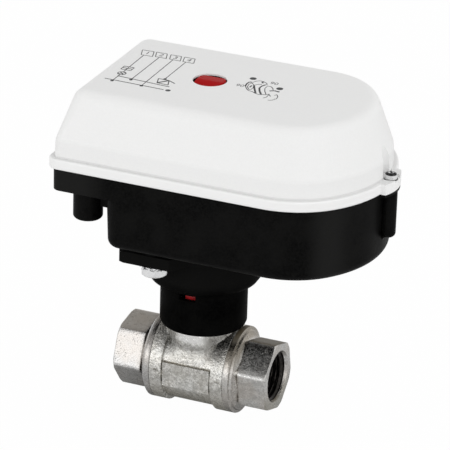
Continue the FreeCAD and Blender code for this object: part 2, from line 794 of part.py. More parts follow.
def buildAdapter():
    """Collar, dome and screwed flange plate in one moulding, hollow round the coupling."""
    body = newBody("adapter_collar")
    domeSketch = newSketch(body, "adapter_outer", "XZ_Plane")
    bend = "dome_bend"
    steps = 4
    curve = []
    for step in range(steps + 1):
        angle = step * 90 / steps
        curve.append(("dome_radius - %s + %s * sin(%s)" % (bend, bend, angle),
                      "dome_start + %s - %s * cos(%s)" % (bend, bend, angle)))
    addProfile(domeSketch, [
        ("0", "neck_top"), ("collar_radius - collar_edge_radius", "neck_top"),
        ("collar_radius - collar_edge_radius * corner_share", "neck_top + collar_edge_radius * corner_share"),
        ("collar_radius", "neck_top + collar_edge_radius"), ("collar_radius", "dome_start")]
        + curve[1:] + [("dome_radius", "flange_plate_bottom"), ("0", "flange_plate_bottom")])
    spin(body, "Revolution", domeSketch, "V_Axis")
    upright(body, "Pad", "flange_disc", "flange_plate_bottom", "flange_plate_top",
            lambda sketch: addCircle(sketch, "flange_plate_radius"))
    for name, sign in (("near_ear", 1), ("far_ear", -1)):
        upright(body, "Pad", name, "flange_plate_bottom", "flange_plate_top",
                lambda sketch, sign=sign: drawEar(sketch, sign))
    floor = "neck_top + collar_floor"
    turned(body, "Groove", "adapter_inner", [
        ("0", "neck_top - 1"), ("bonnet_radius", "neck_top - 1"), ("bonnet_radius", floor),
        ("collar_bore", floor), ("collar_bore", "dome_bore_bottom"),
        ("dome_bore", "dome_bore_bottom + dome_cone_height"),
        ("dome_bore", "flange_plate_top + 1"), ("0", "flange_plate_top + 1")])
    window = newSketch(body, "window", "XZ_Plane")
    addRectangle(window, "-window_width / 2", "window_width / 2", "window_bottom", "dome_start")
    extrude(body, "Pocket", window, "collar_radius + 1", True)

    def drawHoles(sketch):
        radius = "adapter_screw_radius + screw_hole_clearance"
        addCircle(sketch, radius, "adapter_screw_x", "adapter_screw_y")
        addCircle(sketch, radius, "-adapter_screw_x", "-adapter_screw_y")

    upright(body, "Pocket", "screw_holes", "flange_plate_bottom - 1", "flange_plate_top + 1", drawHoles)
    return keep(body)


def buildScrews(name, spots, shape):
    """Identical screws in one node: each shape is a revolved profile placed at its spot."""
    group = document.addObject("Part::Compound", name)
    group.Label = name
    pieces = []
    for number, (across, up) in enumerate(spots):
        screw = document.addObject("Part::Feature", "%s_%d" % (name, number))
        screw.Shape = shape
        centre = FreeCAD.Vector(sizeOf(across) + sizeOf("port_reach"), sizeOf(up), 0)
        screw.Placement = FreeCAD.Placement(centre, FreeCAD.Rotation())
        pieces.append(screw)
    group.Links = pieces
    return keep(group)


def cylinder(radius, bottom, top):
    low = sizeOf(bottom)
    return Part.makeCylinder(sizeOf(radius), sizeOf(top) - low, FreeCAD.Vector(0, 0, low))


def hexPrism(width, bottom, top):
    reach = sizeOf(width) / 2 / math.cos(math.radians(30))
    low = sizeOf(bottom)
    corners = [FreeCAD.Vector(reach * math.cos(math.radians(60 * index)),
                              reach * math.sin(math.radians(60 * index)), low) for index in range(7)]
    return Part.Face(Part.makePolygon(corners)).extrude(FreeCAD.Vector(0, 0, sizeOf(top) - low))


adapterSpots = [("adapter_screw_x", "adapter_screw_y"), ("-adapter_screw_x", "-adapter_screw_y")]


def buildAdapterScrews():
    washerBottom = "flange_plate_bottom - lock_washer_height"
    head = hexPrism("screw_head_width", washerBottom + " - screw_head_height", washerBottom)
    shank = cylinder("adapter_screw_radius", washerBottom, "flange_plate_top + adapter_screw_depth")
    buildScrews("adapter_screws", adapterSpots, head.fuse(shank).removeSplitter())
    disc = cylinder("lock_washer_radius", washerBottom, "flange_plate_bottom")
    hole = cylinder("adapter_screw_radius", washerBottom + " - 1", "flange_plate_bottom + 1")
    buildScrews("adapter_lock_washers", adapterSpots, disc.cut(hole))


# Actuator housing
coverScrewSpots = [("case_tip - cover_screw_inset", "0"), ("case_flat + cover_screw_inset", "0")]


def drawSpots(sketch, radius, spots):
    for across, up in spots:
        addCircle(sketch, radius, across, up)


def slopeInset(low, high, height):
    """The sloped wall's inset at a height, between its insets at the crease and the top."""
    share = "((%s) - crease_height) / (cover_top - crease_height)" % height
    return "%s + (%s - %s) * %s" % (low, high, low, share)


def drawCoverEar(sketch, end, side):
    """A shallow bowed ear that stands out of the skirt round a cover screw."""
    steps = 5
    centre = "%s + %d * (cover_ear_reach - cover_ear_bow)" % (end, side)
    corners = []
    for step in range(-steps, steps + 1):
        angle = "cover_ear_turn * %d / %d" % (step, steps)
        corners.append(("%s + %d * cover_ear_bow * cos(%s)" % (centre, side, angle),
                        "cover_ear_bow * sin(%s)" % angle))
    root = "%s - %d * cover_ear_root" % (end, side)
    halfWidth = "cover_ear_bow * sin(cover_ear_turn)"
    addProfile(sketch, corners + [(root, halfWidth), (root, "-" + halfWidth)])


def buildCover():
    """The white cover: skirt with two screw ears, near upright wall, sloped wall and top."""
    body = newBody("cover_solid")
    skirt = upright(body, "Pad", "skirt", "skirt_bottom", "skirt_top",
                    lambda sketch: addCaseOutline(sketch, "0", "case_flat", "case_corner"))
    lower = roundEdges(body, skirt, "skirt_round", atHeight("skirt_bottom"))
    roundEdges(body, lower, "skirt_round", atHeight("skirt_top"))
    upright(body, "Pad", "tip_ear", "skirt_bottom", "skirt_top",
            lambda sketch: drawCoverEar(sketch, "case_tip", 1))
    upright(body, "Pad", "flat_ear", "skirt_bottom", "skirt_top",
            lambda sketch: drawCoverEar(sketch, "case_flat", -1))
    loft(body, "AdditiveLoft", "cover_wall_loft", [
        ("skirt_bottom", "wall_inset", "case_flat + wall_flat_inset", "wall_corner"),
        ("crease_height", "crease_inset", "case_flat + crease_flat_inset", "wall_corner")])
    slope = loft(body, "AdditiveLoft", "cover_slope_loft", [
        ("crease_height", "crease_inset", "case_flat + crease_flat_inset", "wall_corner"),
        ("cover_top", "top_inset", "case_flat + top_flat_inset", "top_corner")])
    rounded = roundEdges(body, slope, "top_round", atHeight("cover_top"))
    roundEdges(body, rounded, "crease_radius", atHeight("crease_height"))
    upright(body, "Pocket", "channels", "channel_floor", "cover_top + 1",
            lambda sketch: drawSpots(sketch, "channel_radius", coverScrewSpots))
    upright(body, "Pocket", "cover_screw_holes", "skirt_bottom - 1", "cover_top",
            lambda sketch: drawSpots(sketch, "cover_screw_radius + screw_hole_clearance", coverScrewSpots))
    upright(body, "Pocket", "indicator_hole", "cover_top - cover_wall - 1", "cover_top + 1",
            lambda sketch: addCircle(sketch, "indicator_hole_radius"))
    hollow = newBody("cover_hollow")
    shoulder = "base_rim + gasket_height"
    upright(hollow, "Pad", "rim_space", "skirt_bottom - 1", shoulder,
            lambda sketch: addCaseOutline(sketch, "skirt_wall", "shallow_flat", "shallow_corner"))
    inner = "crease_inset + cover_wall"
    innerFlat = "case_flat + crease_flat_inset + cover_wall"
    upright(hollow, "Pad", "upper_space", "skirt_bottom", "crease_height",
            lambda sketch: addCaseOutline(sketch, inner, innerFlat, "wall_corner"))
    ceiling = "cover_top - cover_wall"
    slope = loft(hollow, "AdditiveLoft", "slope_space", [
        ("crease_height", inner, innerFlat, "wall_corner"),
        (ceiling, slopeInset("crease_inset", "top_inset", ceiling) + " + slope_wall",
         "case_flat + slope_wall + " + slopeInset("crease_flat_inset", "top_flat_inset", ceiling),
         "top_corner")])
    roundEdges(hollow, slope, "top_round - cover_wall", atHeight(ceiling))
    upright(hollow, "Pocket", "channel_walls", shoulder, "cover_top",
            lambda sketch: drawSpots(sketch, "channel_radius + channel_wall", coverScrewSpots))
    return keep(subtract("cover", body, [hollow]))


def insetAt(height):
    """How far the base's drafted wall lies inside the skirt at a height."""
    share = "(base_rim - (%s)) / (base_rim - base_bottom)" % height
    return "base_top_inset + (base_bottom_inset - base_top_inset) * " + share


plateSpots = [("post_left", "post_spread"), ("post_left", "-post_spread"),
              ("post_right", "post_spread"), ("post_right", "-post_spread")]
boardPostSpots = [("board_post_x", "board_post_y"), ("board_post_x", "-board_post_y")]
standoffSpots = [("standoff_x", "standoff_y"), ("standoff_x", "-standoff_y")]
cableSpot = [("cable_boss_x", "cable_boss_y")]


def polar(start, distance, turn):
    return ("%s + (%s) * cos(%s)" % (start[0], distance, turn),
            "%s + (%s) * sin(%s)" % (start[1], distance, turn))


def pitchSum(module, wheel):
    return "%s * (%s + pinion_teeth) / 2" % (module, wheel)


secondSpot = polar(("0", "0"), pitchSum("output_module", "output_teeth"), "mesh_turn_second")
firstSpot = polar(secondSpot, pitchSum("second_module", "wheel_teeth"), "mesh_turn_first")
motorSpot = polar(firstSpot, pitchSum("first_module", "wheel_teeth"), "mesh_turn_motor")
axleSpots = [secondSpot, firstSpot]


def buildBase():
    """The black base: a deep gear case and a shallow part over the cable inlet."""
    body = newBody("base_solid")
    deep = loft(body, "AdditiveLoft", "deep_loft", [
        ("shallow_bottom + shallow_overlap", insetAt("shallow_bottom + shallow_overlap"),
         "deep_flat", "deep_corner"),
        ("base_bottom", "base_bottom_inset", "deep_flat + deep_flat_draft", "deep_corner")])
    roundEdges(body, deep, "base_bend", atHeight("base_bottom"))
    loft(body, "AdditiveLoft", "shallow_loft", [
        ("base_rim", "base_top_inset", "shallow_flat", "shallow_corner"),
        ("shallow_bottom", insetAt("shallow_bottom"), "shallow_flat", "shallow_corner")])
    upright(body, "Pad", "centre_pad", "flange_plate_top", "base_bottom + 1",
            lambda sketch: addCircle(sketch, "pad_radius"))
    upright(body, "Pad", "screw_pads", "flange_plate_top", "base_bottom + 1",
            lambda sketch: drawSpots(sketch, "lock_washer_radius", adapterSpots))
    addCableBoss(body)
    column = upright(body, "Pad", "tip_screw_column", "column_bottom", "skirt_bottom",
                     lambda sketch: drawSpots(sketch, "column_radius", coverScrewSpots[:1]))
    roundEdges(body, column, "column_round", atHeight("column_bottom"))
    upright(body, "Pad", "flat_screw_column", "shallow_bottom", "skirt_bottom",
            lambda sketch: drawSpots(sketch, "column_radius", coverScrewSpots[1:]))
    addBaseHoles(body)
    return keep(subtract("base_housing", body, [buildBaseHollow()]))


def addCableBoss(body):
    boss = upright(body, "Pad", "cable_boss", "cable_boss_bottom", "shallow_bottom + shallow_floor",
                   lambda sketch: drawSpots(sketch, "cable_boss_radius", cableSpot))
    roundEdges(body, boss, "cable_boss_round", atHeight("cable_boss_bottom"))
    upright(body, "Pad", "cable_rib", "rib_bottom", "shallow_bottom + shallow_floor",
            lambda rib: addRectangle(rib, "cable_boss_x", "deep_flat + base_wall",
                                     "cable_boss_y - rib_thickness / 2", "cable_boss_y + rib_thickness / 2"))


def addBaseHoles(body):
    upright(body, "Pocket", "cable_hole", "cable_boss_bottom - 1", "base_rim",
            lambda sketch: drawSpots(sketch, "cable_hole_radius", cableSpot))
    upright(body, "Pocket", "bush_hole", "flange_plate_top - 1", "base_rim",
            lambda sketch: addCircle(sketch, "bush_radius"))
    upright(body, "Pocket", "adapter_screw_holes", "flange_plate_top - 1",
            "flange_plate_top + adapter_screw_depth",
            lambda sketch: drawSpots(sketch, "adapter_screw_radius", adapterSpots))
    upright(body, "Pocket", "cover_screw_bores", "channel_floor - cover_screw_length", "skirt_top",
            lambda sketch: drawSpots(sketch, "cover_screw_radius", coverScrewSpots))
    upright(body, "Pocket", "plate_screw_bores", "plate_bottom + plate_height - plate_screw_length",
            "base_rim", lambda sketch: drawSpots(sketch, "plate_screw_radius", plateSpots))
    upright(body, "Pocket", "board_screw_bores", "board_bottom + board_height - board_screw_length",
            "base_rim + 1", lambda sketch: drawSpots(sketch, "board_screw_radius", boardPostSpots))
    floorTop = "base_bottom + base_floor"
    upright(body, "Pocket", "axle_bores", floorTop + " + axle_boss_height - axle_depth", "base_rim",
            lambda sketch: drawSpots(sketch, "axle_radius", axleSpots))


def buildBaseHollow():
    """The space inside the base, with its posts and bosses left standing."""
    hollow = newBody("base_hollow")
    floorTop = "base_bottom + base_floor"
    wall = " + base_wall"
    loft(hollow, "AdditiveLoft", "deep_space", [
        (floorTop, insetAt(floorTop) + wall, "deep_flat + deep_flat_draft + base_wall", "deep_corner / 2"),
        ("shallow_bottom + shallow_floor + 1", insetAt("shallow_bottom + shallow_floor + 1") + wall,
         "deep_flat + base_wall", "deep_corner / 2")])
    shallowFloor = "shallow_bottom + shallow_floor"
    loft(hollow, "AdditiveLoft", "shallow_space", [
        (shallowFloor, insetAt(shallowFloor) + wall, "shallow_flat + base_wall", "shallow_corner / 2"),
        ("base_rim + 1", "base_top_inset" + wall, "shallow_flat + base_wall", "shallow_corner / 2")])
    upright(hollow, "Pocket", "plate_posts", floorTop, "plate_bottom",
            lambda sketch: drawSpots(sketch, "post_radius", plateSpots))
    upright(hollow, "Pocket", "board_posts", shallowFloor, "board_bottom",
            lambda sketch: drawSpots(sketch, "board_post_radius", boardPostSpots))
    upright(hollow, "Pocket", "axle_bosses", floorTop, floorTop + " + axle_boss_height",
            lambda sketch: drawSpots(sketch, "axle_boss_radius", axleSpots))
    upright(hollow, "Pocket", "bush_boss", floorTop, "bush_boss_top",
            lambda sketch: addCircle(sketch, "bush_boss_radius"))
    upright(hollow, "Pocket", "adapter_screw_bosses", floorTop,
            "flange_plate_top + adapter_screw_depth + base_wall",
            lambda sketch: drawSpots(sketch, "lock_washer_radius", adapterSpots))
    upright(hollow, "Pocket", "cover_screw_bosses", floorTop, "base_rim + 1",
            lambda sketch: drawSpots(sketch, "column_radius", coverScrewSpots))
    return hollow


def buildGasket():
    body = newBody("gasket_blank")

    def draw(sketch):
        addCaseOutline(sketch, "base_top_inset + gasket_inset", "shallow_flat + gasket_inset",
                       "shallow_corner")
        addCaseOutline(sketch, "base_top_inset + base_wall - gasket_inset",
                       "shallow_flat + base_wall - gasket_inset", "shallow_corner / 2")

    upright(body, "Pad", "gasket_ring", "base_rim", "base_rim + gasket_height", draw)
    screws = newBody("gasket_screw_space")
    notch = "cover_screw_radius + screw_hole_clearance + gasket_inset"
    upright(screws, "Pad", "gasket_notches", "base_rim - 1", "base_rim + gasket_height + 1",
            lambda sketch: drawSpots(sketch, notch, coverScrewSpots))
    return keep(subtract("cover_gasket", body, [screws]))


def buildCoverScrews():
    head = cylinder("cover_head_radius", "channel_floor", "channel_floor + cover_head_height")
    shank = cylinder("cover_screw_radius", "channel_floor - cover_screw_length", "channel_floor")
    buildScrews("cover_screws", coverScrewSpots, head.fuse(shank).removeSplitter())


def buildGrommet():
    body = newBody("cable_grommet")
    bottom = "cable_boss_bottom + cable_boss_round"

    def draw(sketch):
        drawSpots(sketch, "cable_hole_radius", cableSpot)
        drawSpots(sketch, "cable_radius", cableSpot)

    def drawLip(sketch):
        drawSpots(sketch, "cable_hole_radius + grommet_lip", cableSpot)
        drawSpots(sketch, "cable_radius", cableSpot)

    floor = "shallow_bottom + shallow_floor"
    upright(body, "Pad", "grommet_tube", bottom, floor + " + grommet_lip", draw)
    upright(body, "Pad", "grommet_lip_ring", floor, floor + " + grommet_lip", drawLip)
    return keep(body)


# Gear train
def toothPoints(teeth, module, turn):
    """The outline of a spur gear, with involute flanks drawn in by half the backlash."""
    pitch = module * teeth / 2
    slope = math.radians(sizeOf("pressure_angle"))
    base = pitch * math.cos(slope)
    tip = pitch + module * sizeOf("tooth_addendum")
    root = pitch - module * sizeOf("tooth_dedendum")
    halfTooth = math.pi / (2 * teeth) - sizeOf("backlash") / 2 / pitch
    spread = math.tan(slope) - slope

    def flank(radius):
        if radius <= base:
            return halfTooth + spread
        angle = math.acos(base / radius)
        return halfTooth + spread - (math.tan(angle) - angle)

    radii = [root, max(base, root + 0.01), (max(base, root) + tip) / 2, tip]
    points = []
    for number in range(teeth):
        centre = math.radians(turn) + 2 * math.pi * number / teeth
        rising = [(radius, centre - flank(radius)) for radius in radii]
        falling = [(radius, centre + flank(radius)) for radius in reversed(radii)]
        for radius, angle in rising + falling:
            points.append(FreeCAD.Vector(radius * math.cos(angle), radius * math.sin(angle), 0))
    return points + points[:1]


def spurGear(teeth, module, turn, bottom, height):
    outline = Part.makePolygon(toothPoints(int(sizeOf(teeth)), sizeOf(module), turn))
    gear = Part.Face(outline).extrude(FreeCAD.Vector(0, 0, sizeOf(height)))
    gear.translate(FreeCAD.Vector(0, 0, sizeOf(bottom)))
    return gear


def meshTurn(teeth, direction, driving):
    """Gear turn that puts a tooth, or a gap on the other gear, on the line between the centres."""
    if driving:
        return sizeOf(direction)
    return sizeOf(direction) + 180 + 180 / sizeOf(teeth)


def addShape(name, shape, spot):
    """A sub-part made by Part's own functions, placed at a spot of the gear case."""
    item = document.addObject("Part::Feature", name)
    item.Label = name
    item.Shape = shape
    centre = FreeCAD.Vector(sizeOf(spot[0]) + sizeOf("port_reach"), sizeOf(spot[1]), 0)
    item.Placement = FreeCAD.Placement(centre, FreeCAD.Rotation())
    return keep(item)


def buildOutputGear():
    top = "output_gear_bottom + output_gear_height"
    gear = spurGear("output_teeth", "output_module",
                    meshTurn("output_teeth", "mesh_turn_second", True),
                    "output_gear_bottom", "output_gear_height")
    hub = cylinder("shaft_hub_radius", "output_gear_bottom", top + " + wheel_height")
    bore = cylinder("shaft_radius", "output_gear_bottom - 1", top + " + wheel_height + 1")
    addShape("output_gear", gear.fuse(hub).cut(bore), ("0", "0"))


def buildCompound(name, spot, pinionModule, wheelModule, pinionBottom, wheelBottom, inTurn, outTurn):
    """A wheel and its pinion in one moulding: the pinion drives towards the output."""
    pinion = spurGear("pinion_teeth", pinionModule, meshTurn("pinion_teeth", inTurn, False),
                      pinionBottom, "(%s) - (%s)" % (wheelBottom, pinionBottom))
    wheel = spurGear("wheel_teeth", wheelModule, meshTurn("wheel_teeth", outTurn, True),
                     wheelBottom, "wheel_height")
    foot = "base_bottom + base_floor + axle_boss_height + gear_gap"
    top = "plate_bottom - gear_gap"
    hub = cylinder("compound_hub_radius", foot, top)
    bore = cylinder("axle_radius + running_clearance", foot + " - 1", top + " + 1")
    addShape(name, pinion.fuse([wheel, hub]).removeSplitter().cut(bore), spot)


def buildGearTrain():
    buildOutputGear()
    buildCompound("second_reduction_gear", secondSpot, "output_module", "second_module",
                  "output_gear_bottom", "second_wheel_bottom", "mesh_turn_second", "mesh_turn_first")
    buildCompound("first_reduction_gear", firstSpot, "second_module", "first_module",
                  "second_wheel_bottom - gear_gap", "first_wheel_bottom", "mesh_turn_first",
                  "mesh_turn_motor")
    bottom = "base_bottom + base_floor + axle_boss_height - axle_depth"
    axle = cylinder("axle_radius", bottom, "plate_bottom + plate_height")
    addShape("second_gear_axle", axle, secondSpot)
    addShape("first_gear_axle", axle, firstSpot)
    pinion = spurGear("pinion_teeth", "first_module", meshTurn("pinion_teeth", "mesh_turn_motor", False),
                      "first_wheel_bottom - gear_gap", "wheel_height + gear_gap * 2")
    shaftHole = cylinder("motor_shaft_radius", "first_wheel_bottom - 1", "plate_bottom")
    addShape("motor_pinion", pinion.cut(shaftHole), motorSpot)
    shaft = cylinder("motor_shaft_radius", "first_wheel_bottom - gear_gap",
                     "plate_bottom + plate_height + motor_height + rotor_shaft_rise")
    addShape("motor_shaft", shaft, motorSpot)


def buildGearPlate():
    body = newBody("gear_plate")

    def draw(sketch):
        addProfile(sketch, [
            ("plate_left + plate_corner", "-plate_half_width"),
            ("plate_right - plate_corner", "-plate_half_width"),
            ("plate_right", "-plate_half_width + plate_corner"),
            ("plate_right", "plate_half_width - plate_corner"),
            ("plate_right - plate_corner", "plate_half_width"),
            ("plate_left + plate_corner", "plate_half_width"),
            ("plate_left", "plate_half_width - plate_corner"),
            ("plate_left", "-plate_half_width + plate_corner")])
        addCircle(sketch, "bush_radius")
        drawSpots(sketch, "plate_screw_radius", plateSpots)
        drawSpots(sketch, "axle_radius", axleSpots)
        drawSpots(sketch, "motor_collar_radius", [motorSpot])
        drawSpots(sketch, "plate_screw_radius", motorScrewSpots())

    upright(body, "Pad", "plate_blank", "plate_bottom", "plate_bottom + plate_height", draw)
    return keep(body)


def motorScrewSpots():
    return [(motorSpot[0], "%s + motor_ear_reach" % motorSpot[1]),
            (motorSpot[0], "%s - motor_ear_reach" % motorSpot[1])]


def buildMotor():
    """The round synchronous motor, standing on the gear plate with its shaft pointing down."""
    body = newBody("motor_case")
    plateTop = "plate_bottom + plate_height"
    can = upright(body, "Pad", "motor_can", plateTop, plateTop + " + motor_height",
                  lambda sketch: drawSpots(sketch, "motor_radius", [motorSpot]))
    roundEdges(body, can, "motor_round", atHeight(plateTop + " + motor_height"))
    for number, (across, up) in enumerate(motorScrewSpots()):
        upright(body, "Pad", "motor_ear_%d" % number, plateTop, plateTop + " + motor_ear_height",
                lambda sketch, across=across, up=up: addCircle(sketch, "motor_ear_radius", across, up))
    upright(body, "Pad", "motor_collar", plateTop + " - motor_collar_height", plateTop,
            lambda sketch: drawSpots(sketch, "motor_collar_radius", [motorSpot]))
    upright(body, "Pocket", "motor_screw_holes", plateTop, plateTop + " + motor_ear_height",
            lambda sketch: drawSpots(sketch, "plate_screw_radius", motorScrewSpots()))
    upright(body, "Pocket", "motor_shaft_bore", plateTop + " - motor_collar_height - 1",
            plateTop + " + motor_height + 1",
            lambda sketch: drawSpots(sketch, "motor_shaft_radius + running_clearance", [motorSpot]))
    return keep(body)


def buildPlateScrews():
    plateTop = "plate_bottom + plate_height"
    head = cylinder("plate_head_radius", plateTop, plateTop + " + plate_head_height")
    shank = cylinder("plate_screw_radius", plateTop + " - plate_screw_length", plateTop)
    buildScrews("gear_plate_screws", plateSpots, head.fuse(shank).removeSplitter())
    earTop = plateTop + " + motor_ear_height"
    head = cylinder("plate_head_radius", earTop, earTop + " + plate_head_height")
    shank = cylinder("plate_screw_radius", "plate_bottom", earTop)
    buildScrews("motor_screws", motorScrewSpots(), head.fuse(shank).removeSplitter())


def buildBush(name, sleeve, flange):
    """A flanged bush for the output shaft, from the heights of its sleeve and of its flange."""
    body = newBody(name)

    def ring(sketch, outer):
        addCircle(sketch, outer)
        addCircle(sketch, "shaft_radius + running_clearance")

    upright(body, "Pad", name + "_sleeve", *sleeve, lambda sketch: ring(sketch, "bush_radius"))
    upright(body, "Pad", name + "_flange", *flange, lambda sketch: ring(sketch, "bush_flange_radius"))
    return keep(body)


def buildBushes():
    buildBush("base_bush", ("bush_boss_top - bush_height", "bush_boss_top"),
              ("bush_boss_top", "bush_boss_top + bush_flange_height"))
    buildBush("plate_bush", ("plate_bottom", "plate_bottom + plate_height"),
              ("plate_bottom - bush_flange_height", "plate_bottom"))


def buildOutputShaft():
    body = newBody("output_shaft")
    upright(body, "Pad", "shaft_square_end", "shaft_bottom", "shaft_square_top",
            lambda sketch: addRegular(sketch, "shaft_square", 4, "45"))
    upright(body, "Pad", "shaft_round", "shaft_square_top", "indicator_sleeve_bottom",
            lambda sketch: addCircle(sketch, "shaft_radius"))
    upright(body, "Pad", "shaft_pin", "indicator_sleeve_bottom", "shaft_top",
            lambda sketch: addCircle(sketch, "indicator_pin_radius"))
    return keep(body)


# Position parts and electronics
def buildCam():
    """The magnet carrier clamped on the output shaft, beside the board's two position sensors."""
    body = newBody("magnet_carrier")

    def draw(sketch):
        addCircle(sketch, "cam_radius")
        addCircle(sketch, "shaft_radius")

    upright(body, "Pad", "carrier_ring", "cam_bottom", "cam_bottom + cam_height", draw)
    magnetX = "-(cam_radius - magnet_radius - magnet_inset)"
    upright(body, "Pocket", "magnet_pocket", "cam_bottom + cam_height - magnet_height",
            "cam_bottom + cam_height + 1",
            lambda sketch: addCircle(sketch, "magnet_radius", magnetX))
    keep(body)
    magnet = newBody("sensor_magnet")
    upright(magnet, "Pad", "magnet_disc", "cam_bottom + cam_height - magnet_height",
            "cam_bottom + cam_height",
            lambda sketch: addCircle(sketch, "magnet_radius", magnetX))
    keep(magnet)


def buildBoard():
    body = newBody("circuit_board")

    def draw(sketch):
        addRectangle(sketch, "board_left", "board_right", "-board_half_width", "board_half_width")
        drawSpots(sketch, "board_screw_radius", boardPostSpots + standoffSpots)
        drawSpots(sketch, "cable_hole_radius", cableSpot)

    upright(body, "Pad", "board_blank", "board_bottom", "board_bottom + board_height", draw)
    keep(body)
    boardTop = "board_bottom + board_height"
    head = cylinder("board_head_radius", boardTop, boardTop + " + board_head_height")
    shank = cylinder("board_screw_radius", boardTop + " - board_screw_length", boardTop)
    buildScrews("board_screws", boardPostSpots + standoffSpots, head.fuse(shank).removeSplitter())
    pillar = cylinder("standoff_radius", "plate_bottom + plate_height", "board_bottom")
    bore = cylinder("board_screw_radius", boardTop + " - board_screw_length", "board_bottom + 1")
    buildScrews("board_standoffs", standoffSpots, pillar.cut(bore))


def buildBoardParts():
    boardTop = "board_bottom + board_height"
    terminal = newBody("terminal_block")
    upright(terminal, "Pad", "terminal_case", boardTop, boardTop + " + terminal_height",
            lambda sketch: addRectangle(sketch, "terminal_left", "terminal_left + terminal_width",
                                        "terminal_front", "terminal_front + terminal_length"))

    def drawWells(sketch):
        for number in range(5):
            up = "terminal_front + terminal_length / 2 + terminal_pitch * %d" % (number - 2)
            addCircle(sketch, "terminal_well_radius", "terminal_left + terminal_width / 2", up)

    upright(terminal, "Pocket", "terminal_wells", boardTop + " + terminal_height - terminal_well_depth",
            boardTop + " + terminal_height + 1", drawWells)
    keep(terminal)
    relay = newBody("motor_relay")
    upright(relay, "Pad", "relay_case", boardTop, boardTop + " + relay_height",
            lambda sketch: addRectangle(sketch, "relay_left", "relay_left + relay_width",
                                        "relay_front", "relay_front + relay_length"))
    keep(relay)
    capacitor = newBody("motor_capacitor")
    can = upright(capacitor, "Pad", "capacitor_can", boardTop, boardTop + " + capacitor_height",
                  lambda sketch: addCircle(sketch, "capacitor_radius", "capacitor_x", "capacitor_y"))
    bevelEdges(capacitor, can, "capacitor_bevel", atHeight(boardTop + " + capacitor_height"))
    keep(capacitor)
    for name, side in (("open_sensor", "1"), ("closed_sensor", "-1")):
        sensor = newBody(name)
        middle = "%s * sensor_spread" % side
        upright(sensor, "Pad", name + "_case", boardTop, boardTop + " + sensor_height",
                lambda sketch: addRectangle(sketch, "board_right - sensor_gap - sensor_width",
                                            "board_right - sensor_gap", middle + " - sensor_length / 2",
                                            middle + " + sensor_length / 2"))
        keep(sensor)


def buildIndicator():
    """The red pointer: a disc in the cover's hole, with a tapered ridge along the flow."""
    body = newBody("position_indicator")
    turned(body, "Revolution", "indicator_turning", [
        ("0", "shaft_top"), ("indicator_pin_radius", "shaft_top"),
        ("indicator_pin_radius", "indicator_sleeve_bottom"),
        ("indicator_sleeve_radius", "indicator_sleeve_bottom"),
        ("indicator_sleeve_radius", "indicator_bottom"), ("lip_radius", "indicator_bottom"),
        ("lip_radius", "indicator_bottom + lip_height"),
        ("indicator_radius", "indicator_bottom + lip_height"),
        ("indicator_radius", "indicator_face"), ("0", "indicator_face")])
    ridge = newSketch(body, "ridge_section", "YZ_Plane", "-ridge_length / 2")
    addProfile(ridge, [
        ("-ridge_base_width / 2", "indicator_face"), ("ridge_base_width / 2", "indicator_face"),
        ("ridge_top_width / 2", "indicator_top"), ("-ridge_top_width / 2", "indicator_top")])
    extrude(body, "Pad", ridge, "ridge_length")
    return keep(body)


def buildWasher():
    bottom = "stem_flange_bottom + stem_flange_height"
    return keep(tube("stem_thrust_washer", "stem_radius + running_clearance", "stem_flange_radius",
                     bottom, bottom + " + washer_height"))


def buildAll():
    buildValveBody()
    buildConnector("inlet_connector", "inlet_hex_turn", 180)
    buildConnector("outlet_connector", "outlet_hex_turn", 0)
    buildSeat("inlet_seat", 180)
    buildSeat("outlet_seat", 0)
    buildSeal("inlet_seal", 180)
    buildSeal("outlet_seal", 0)
    buildBall()
    buildStem()
    buildStemRings()
    buildWasher()
    buildGlandNut()
    buildCoupling()
    buildAdapter()
    buildAdapterScrews()
    buildBase()
    buildGasket()
    buildCover()
    buildCoverScrews()
    buildGrommet()
    buildGearPlate()
    buildGearTrain()
    buildBushes()
    buildOutputShaft()
    buildMotor()
    buildPlateScrews()
    buildCam()
    buildBoard()
    buildBoardParts()
    buildIndicator()


def checkAll():
    """Stop when any object has failed or any sub-part's shape is empty or broken."""
    document.recompute()
    for item in document.Objects:
        if "Invalid" in item.State or "Error" in item.State:
            raise RuntimeError("failed object: %s %s" % (item.Label, item.State))
    for item in parts:
        if item.Shape.isNull() or not item.Shape.isValid():
            raise RuntimeError("broken shape: " + item.Label)


def exportAll():
    os.makedirs("parts", exist_ok=True)
    for item in parts:
        print(item.Label, len(item.Shape.Solids), round(item.Shape.Volume, 1))
        item.Shape.exportStep("parts/%s.step" % item.Label)


buildAll()
checkAll()
exportAll()
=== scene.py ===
import math
from types import SimpleNamespace

import bmesh
import bpy
from mathutils import Matrix, Vector


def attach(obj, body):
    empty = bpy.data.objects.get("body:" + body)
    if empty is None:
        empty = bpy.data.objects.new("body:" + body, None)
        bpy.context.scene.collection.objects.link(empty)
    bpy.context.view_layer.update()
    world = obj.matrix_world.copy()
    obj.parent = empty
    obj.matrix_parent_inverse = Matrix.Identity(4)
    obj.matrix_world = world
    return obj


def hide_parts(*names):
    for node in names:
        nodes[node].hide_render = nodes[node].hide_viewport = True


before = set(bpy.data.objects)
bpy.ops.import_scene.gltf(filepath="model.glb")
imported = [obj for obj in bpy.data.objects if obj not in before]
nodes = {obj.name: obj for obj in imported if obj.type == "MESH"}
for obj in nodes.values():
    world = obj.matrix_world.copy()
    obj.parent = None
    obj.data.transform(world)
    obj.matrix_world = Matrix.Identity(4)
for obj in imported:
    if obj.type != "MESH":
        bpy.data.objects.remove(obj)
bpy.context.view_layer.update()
print("frame loaded:", len(nodes), "nodes")

mm = 0.001
stemX = 34.5          # the stem axis, from the inlet face, in millimetres
tiny = 0.02           # the step that keeps a corner sharp, and the radius at the middle of a cap
partCrease = 30       # edges that turn by more than this many degrees stay sharp


# helpers; pieces are measured in millimetres from the stem axis and the pipe axis

